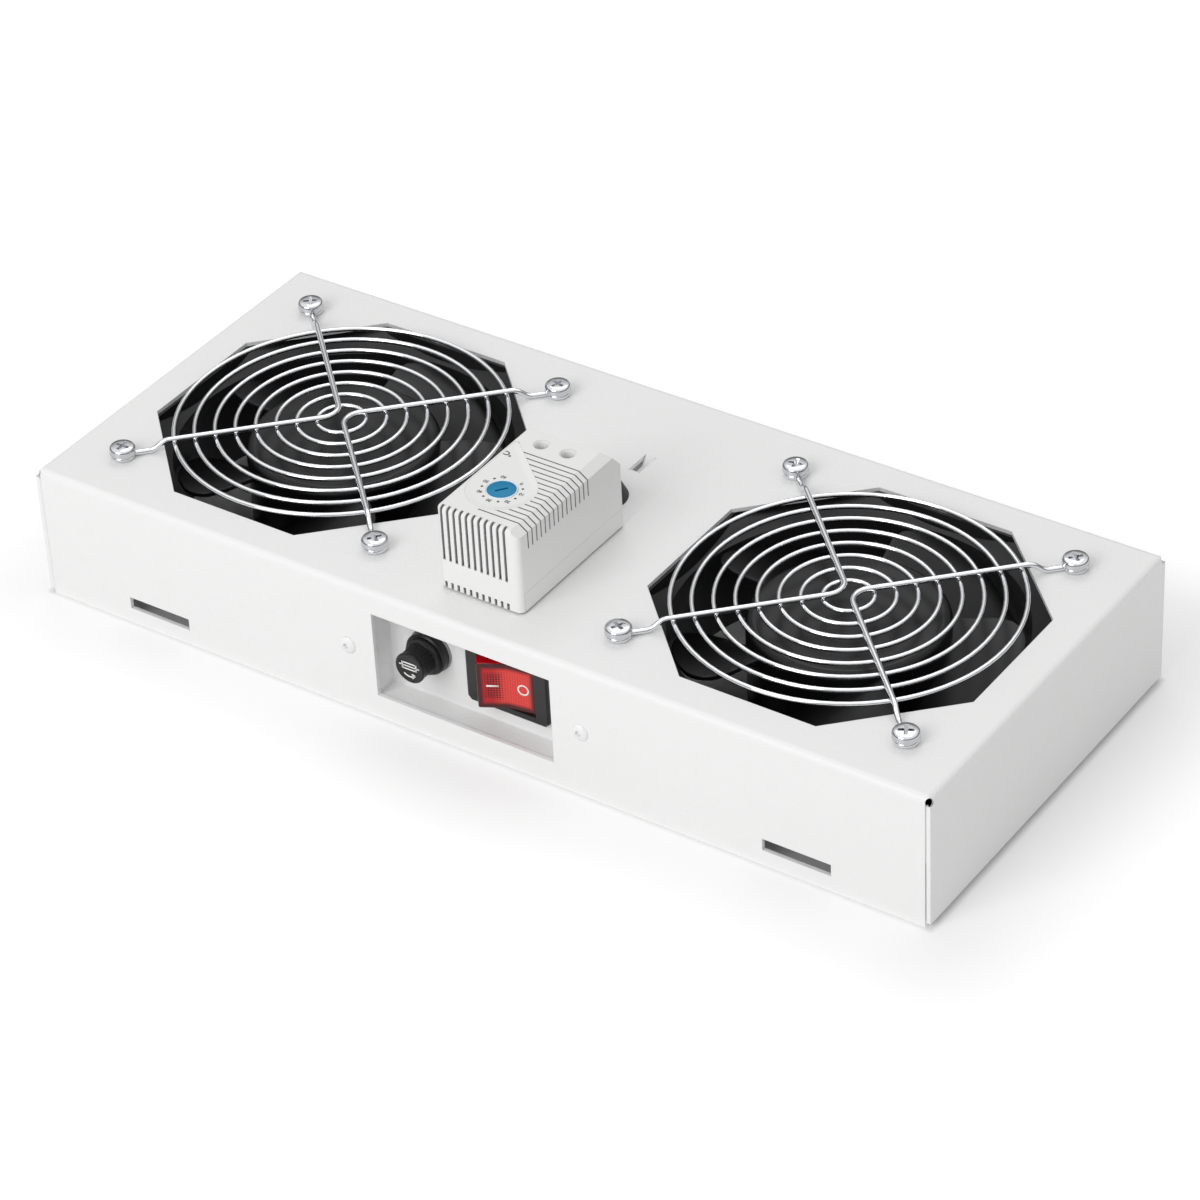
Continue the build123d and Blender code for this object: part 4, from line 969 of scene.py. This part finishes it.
# %% Corner beads
for name, x, low, y in (("left_corner_bead", -171.8, 0.3, -73.0),
                        ("right_corner_bead", 171.8, 25.0, -72.6)):
    run = slab_mesh(name, [(x - 0.22, low), (x + 0.22, low), (x + 0.22, 46.8), (x - 0.22, 46.8)],
                    0.45)
    run.transform(at(0, y, 0))
    add_piece(name, run, coat, "tray")

# %% [markdown]
# ## Rocker marks
# The bar for on and the ring for off are printed on the two halves of the rocker. The height of
# the face follows from the outline above, so the ink lies on it exactly.

# %% Rocker marks
def on_rocker(along):
    """A place on the rocker's face, its Z axis along the face's normal."""
    lean = -10 if along > 0 else 10
    rise = 2.838 + abs(along) * math.tan(math.radians(10))
    spot = Matrix.Translation(Vector((along, 0, rise)) * MM)
    on_face = spot @ Matrix.Rotation(math.radians(lean), 4, "Y")
    return facing_front(SWITCH_X, PANEL_Y + 0.3, ROCKER_MIDDLE) @ TIPPED @ on_face


bar = bmesh.new()
ribbon(bar, [(-2.05, 0), (2.05, 0)], 0.62)
printed("on_bar", bar, on_rocker(-4.9), "rocker", white_ink)
ring = bmesh.new()
ribbon(ring, arc((0, 0), 1.8, 0, 350, 35), 0.55, closed=True)
printed("off_ring", ring, on_rocker(5.4), "rocker", white_ink)

# %% [markdown]
# ## Label panel
# The panel round the dial is a shallow dish: level with the cover on its left, and a soft step
# down from the grooves on its right. It is a sheet of points between the dial's hole and the
# outline, a tapered round form, and each point's height follows from its distance to the outline.

# %% Label panel
DIAL = Vector((-3.7, -40.5, 0))
PANEL_TIP = Vector((-14.5, -16.8, 0))
ROUND, TIP_ROUND = 11.7, 1.0
COVER_TOP = 81.6
PANEL_TOP = 81.1


def panel_inset(spot):
    """How far a point lies inside the panel's outline, in mm."""
    way = PANEL_TIP - DIAL
    length = way.length
    way.normalize()
    from_dial = spot - DIAL
    up = from_dial.dot(way)
    out = abs(from_dial.x * way.y - from_dial.y * way.x)
    slope = (ROUND - TIP_ROUND) / length
    side_way = math.sqrt(1 - slope ** 2)
    along = side_way * up - slope * out
    if along < 0:
        return ROUND - math.hypot(out, up)
    if along > side_way * length:
        return TIP_ROUND - math.hypot(out, up - length)
    return ROUND - (out * side_way + up * slope)


def ease(low, high, value):
    """Smooth step from 0 to 1."""
    share = min(1.0, max(0.0, (value - low) / (high - low)))
    return share * share * (3 - 2 * share)


def panel_height(spot):
    """Height of the dished panel."""
    way = (PANEL_TIP - DIAL).normalized()
    across = (spot.x - DIAL.x) * way.y - (spot.y - DIAL.y) * way.x
    sunk = 0.16 + 0.30 * ease(-5.0, 7.0, across)
    return COVER_TOP - 0.02 - sunk * ease(0.0, 2.4, panel_inset(spot))


def panel_mesh(name, hole, turns=180, steps=22):
    """The dished sheet, closed below on the cover's floor for the label."""
    work = bmesh.new()
    columns = []
    for n in range(turns):
        turn = 2 * math.pi * n / turns
        way = Vector((math.cos(turn), math.sin(turn), 0))
        near, far = hole, 60.0
        for _ in range(40):
            middle = (near + far) / 2
            near, far = (middle, far) if panel_inset(DIAL + way * middle) > 0.03 else (near, middle)
        column = []
        for step in range(steps + 1):
            spot = DIAL + way * (near + (hole - near) * (step / steps) ** 1.5)
            column.append(work.verts.new(Vector((spot.x, spot.y, panel_height(spot))) * MM))
        edge, inner = DIAL + way * near, DIAL + way * hole
        column.insert(0, work.verts.new(Vector((edge.x, edge.y, PANEL_TOP)) * MM))
        column.append(work.verts.new(Vector((inner.x, inner.y, PANEL_TOP - 1.0)) * MM))
        columns.append(column)
    for n in range(turns):
        here, there = columns[n], columns[(n + 1) % turns]
        for low in range(len(here)):
            high = (low + 1) % len(here)
            work.faces.new((here[low], there[low], there[high], here[high]))
    return mesh_from(name, work, 50)


white_panel = finish("white_panel", (0.84, 0.84, 0.832), 0.5, 2600, 0.000008, amount=0.015,
                     edge=0.00001)
panel = add_piece("label_panel", panel_mesh("label_panel", 5.28), white_panel, "tray")
print("panel faces:", len(panel.data.polygons))

# %% [markdown]
# ## Dial and sleeves
# The dial is turned on the lathe, its screwdriver slot is cut out, and a pale ring runs round
# it; its pale colour is a painted highlight of the dial's chamfer. Two short sleeves line the
# holes that lead a screwdriver to the clamps.

# %% Dial and sleeves
knob_profile = [(0, 78.4), (4.8, 78.4), (4.8, 81.40), (4.74, 81.44), (0, 81.44)]
slot_cutter = bmesh.new()
bmesh.ops.create_cube(slot_cutter, size=1)
bmesh.ops.scale(slot_cutter, verts=slot_cutter.verts, vec=(4.4 * MM, 0.85 * MM, 2.0 * MM))
slot_cutter = mesh_from("slot_cutter", slot_cutter)
slot_cutter.transform(at(0, 0, 81.44, 52))
knob = cut("blue_knob", lathe("knob_shape", knob_profile, 64), slot_cutter)
knob.transform(at(DIAL.x, DIAL.y, 0))
add_piece("blue_knob", knob, dial_blue, "dial", "thermostat_dial", slot="dial_blue")
# The pale ring is a painted highlight.
rim_profile = [(4.82, 79.0), (5.2, 79.0), (5.2, 81.42), (5.1, 81.52), (4.92, 81.52),
               (4.82, 81.42), (4.82, 79.0)]
rim_ring = lathe("dial_rim", rim_profile, 64)
rim_ring.transform(at(DIAL.x, DIAL.y, 0))
add_piece("dial_rim", rim_ring, highlight_ring_paint, "dial", "thermostat_dial")

sleeve_profile = [(2.2, 76.9), (2.68, 76.9), (2.68, 81.5), (2.5, 81.5), (2.3, 81.2), (2.2, 80.8),
                  (2.2, 76.9)]
sleeve = lathe("sleeve", sleeve_profile, 40)
sleeves = joined("screwdriver_sleeves", [(sleeve, at(x, -13.4, 0)) for x in (-7.05, 3.25)])
add_piece("screwdriver_sleeves", sleeves, white_case, "tray")

# %% [markdown]
# ## Scale of the thermostat
# Plain numbers from 0 to 60 stand round the dial, with a dot between each two. They read from
# behind the tray, because the terminals are this device's lower end. A text object gives each
# number, a hair thick; turned into a mesh, it can follow the dish. The dots are small discs.

# %% Thermostat scale
grey_ink = finish("grey_ink", (0.075, 0.068, 0.060), 0.5, 3000, 0.000001, amount=0.1,
                  edge=0.00001)


def round_dial(degrees, reach):
    """A place on the panel, counted clockwise from the back."""
    turn = math.radians(90 - degrees)
    spot = DIAL + Vector((reach * math.cos(turn), reach * math.sin(turn), 0))
    return spot + Vector((0, 0, panel_height(spot)))


def number(name, words, spot, height, bold=0.02):
    """A short text that follows the panel's dish and reads from behind."""
    text = bpy.data.curves.new(name, "FONT")
    text.body = words
    text.size = height * MM
    text.align_x = "CENTER"
    text.align_y = "CENTER"
    text.extrude = INK_HALF * MM
    text.offset = bold * MM
    flat = bpy.data.objects.new(f"{name}_flat", text)
    print_mesh = bpy.data.meshes.new_from_object(flat)
    bpy.data.objects.remove(flat)
    print_mesh.transform(at(spot.x, spot.y, INK_LIFT, 180))
    highest = COVER_TOP - INK_LIFT - INK_HALF - 0.01
    for vertex in print_mesh.vertices:
        under = panel_height(Vector((vertex.co.x, vertex.co.y, 0)) / MM)
        vertex.co.z += min(under, highest) * MM
    return add_piece(name, print_mesh, grey_ink, "tray")


for step in range(7):
    number(f"scale_{step * 10}", str(step * 10), round_dial(30 + 50 * step, 7.0), 1.9)
unit = DIAL + Vector((-9.7, 17.7, 0))
number("scale_unit", "°C", unit, 2.9, bold=0.06)
dot = lathe("scale_dot", [(0, -0.04), (0.45, -0.04), (0.45, 0.03), (0, 0.03)], 16)
dots = []
for step in range(6):
    spot = round_dial(55 + 50 * step, 6.7)
    dots.append((dot, at(spot.x, spot.y, spot.z)))
add_piece("scale_dots", joined("scale_dots", dots), grey_ink, "tray")

# %% [markdown]
# ## Floor
# The photograph has a white ground with a soft shadow. A large pale plane catches the shadow.
# It glows a little for the camera and for mirror-like surfaces, but not for the light that
# falls on the object. A mask keeps that glow off the ground under the tray and lets it grow
# outwards, so the shadow stays. Under the tray a weak glow stands for light from below.

# %% Floor
bpy.ops.mesh.primitive_plane_add(size=6.0, location=(0, 0, 0))
floor = bpy.context.object
floor.name = "floor"
floor_paint, tree, shader = new_material("floor_white", Roughness=0.9)
shader.inputs["Base Color"].default_value = (0.80, 0.80, 0.80, 1)
shader.inputs["Specular IOR Level"].default_value = 0.0
ray = add_node(tree, "ShaderNodeLightPath")
seen = add_node(tree, "ShaderNodeMath", operation="MAXIMUM")
lift = add_node(tree, "ShaderNodeMath", operation="MULTIPLY")
place = add_node(tree, "ShaderNodeTexCoord")
both_sides = add_node(tree, "ShaderNodeVectorMath", operation="ABSOLUTE")
beyond = add_node(tree, "ShaderNodeVectorMath", operation="SUBTRACT")
beyond.inputs[1].default_value = (cad_box[1][0], cad_box[1][1], 0)
outside = add_node(tree, "ShaderNodeVectorMath", operation="MAXIMUM")
away = add_node(tree, "ShaderNodeVectorMath", operation="LENGTH")
near_step = add_node(tree, "ShaderNodeMapRange")
near_step.inputs["From Max"].default_value = 0.002
far_light = add_node(tree, "ShaderNodeMath", operation="MULTIPLY_ADD")
far_light.inputs[1].default_value = 0.20
far_step = add_node(tree, "ShaderNodeMapRange", interpolation_type="SMOOTHSTEP")
far_step.inputs["From Max"].default_value = 0.10
far_step.inputs["To Max"].default_value = 0.25
under_it = add_node(tree, "ShaderNodeMath", operation="SUBTRACT")
under_it.inputs[0].default_value = 1.0
fill = add_node(tree, "ShaderNodeMath", operation="MULTIPLY")
weak_fill = add_node(tree, "ShaderNodeMath", operation="MULTIPLY_ADD")
weak_fill.inputs[1].default_value = 0.35
wire(tree,
     (place.outputs["Object"], both_sides.inputs[0]),
     (both_sides.outputs[0], beyond.inputs[0]),
     (beyond.outputs[0], outside.inputs[0]),
     (outside.outputs[0], away.inputs[0]),
     (away.outputs["Value"], near_step.inputs["Value"]),
     (away.outputs["Value"], far_step.inputs["Value"]),
     (near_step.outputs[0], far_light.inputs[0]),
     (far_step.outputs[0], far_light.inputs[2]),
     (far_light.outputs[0], lift.inputs[1]),
     (near_step.outputs[0], under_it.inputs[1]),
     (under_it.outputs[0], fill.inputs[0]),
     (ray.outputs["Is Diffuse Ray"], fill.inputs[1]),
     (fill.outputs[0], weak_fill.inputs[0]),
     (lift.outputs[0], weak_fill.inputs[2]),
     (ray.outputs["Is Camera Ray"], seen.inputs[0]),
     (ray.outputs["Is Glossy Ray"], seen.inputs[1]),
     (seen.outputs[0], lift.inputs[0]))
shader.inputs["Emission Color"].default_value = (1, 1, 1, 1)
tree.links.new(weak_fill.outputs[0], shader.inputs["Emission Strength"])

# %% [markdown]
# ## Seen from below
# The tray is open below, and a learner may want to look in. The floor's back side is clear,
# so a camera under it sees the fans, the recess box and the tabs.

# %% Floor seen from below
facing = add_node(tree, "ShaderNodeNewGeometry")
see_through = add_node(tree, "ShaderNodeBsdfTransparent")
either_face = add_node(tree, "ShaderNodeMixShader")
wire(tree,
     (facing.outputs["Backfacing"], either_face.inputs[0]),
     (shader.outputs[0], either_face.inputs[1]),
     (see_through.outputs[0], either_face.inputs[2]),
     (either_face.outputs[0], tree.nodes["Material Output"].inputs["Surface"]))
floor.data.materials.append(floor_paint)

# %% [markdown]
# ## World
# The world is white for the camera and gives soft fill light from all sides. Wires and screws
# mirror a studio that is darker near the floor, which draws the dark lines along bright metal.

# %% World
world = bpy.data.worlds.new("studio")
scene.world = world
world.use_nodes = True
tree = world.node_tree
background = tree.nodes["Background"]
background.inputs["Color"].default_value = (1, 1, 1, 1)
ray = add_node(tree, "ShaderNodeLightPath")
either = add_node(tree, "ShaderNodeMath", operation="MAXIMUM")
level = add_node(tree, "ShaderNodeMapRange")
level.inputs["To Min"].default_value = 0.64
level.inputs["To Max"].default_value = 1.0
wire(tree,
     (ray.outputs["Is Camera Ray"], either.inputs[0]),
     (ray.outputs["Is Transmission Ray"], either.inputs[1]),
     (either.outputs[0], level.inputs["Value"]))
way = add_node(tree, "ShaderNodeTexCoord")
parts_of_way = add_node(tree, "ShaderNodeSeparateXYZ")
studio_wall = add_node(tree, "ShaderNodeMapRange", interpolation_type="SMOOTHSTEP")
studio_wall.inputs["From Min"].default_value = 0.25
studio_wall.inputs["From Max"].default_value = 0.75
studio_wall.inputs["To Min"].default_value = 0.22
studio_wall.inputs["To Max"].default_value = 1.15
mirror = add_node(tree, "ShaderNodeMix", data_type="FLOAT")
wire(tree,
     (way.outputs["Generated"], parts_of_way.inputs[0]),
     (parts_of_way.outputs["Z"], studio_wall.inputs["Value"]),
     (ray.outputs["Is Glossy Ray"], mirror.inputs["Factor"]),
     (level.outputs[0], mirror.inputs["A"]),
     (studio_wall.outputs[0], mirror.inputs["B"]),
     (mirror.outputs[0], background.inputs["Strength"]))

# %% [markdown]
# ## Lamps
# The light is strongest from the front, where a large soft lamp stands. A weak one behind
# lights the back edges.

# %% Lamps
def lamp(name, place, aim, size, power):
    """A square soft lamp that looks at a point."""
    data = bpy.data.lights.new(name, "AREA")
    data.size = size
    data.energy = power
    piece = bpy.data.objects.new(name, data)
    scene.collection.objects.link(piece)
    piece.location = place
    piece.rotation_mode = "QUATERNION"
    piece.rotation_quaternion = (Vector(aim) - Vector(place)).to_track_quat("-Z", "Y")
    return piece


lamp("front_lamp", (-0.25, -1.7, 1.25), (0, 0, 0.03), 1.2, 17.5)
lamp("top_lamp", (-0.5, 0.9, 1.6), (0, 0, 0.03), 1.0, 3)
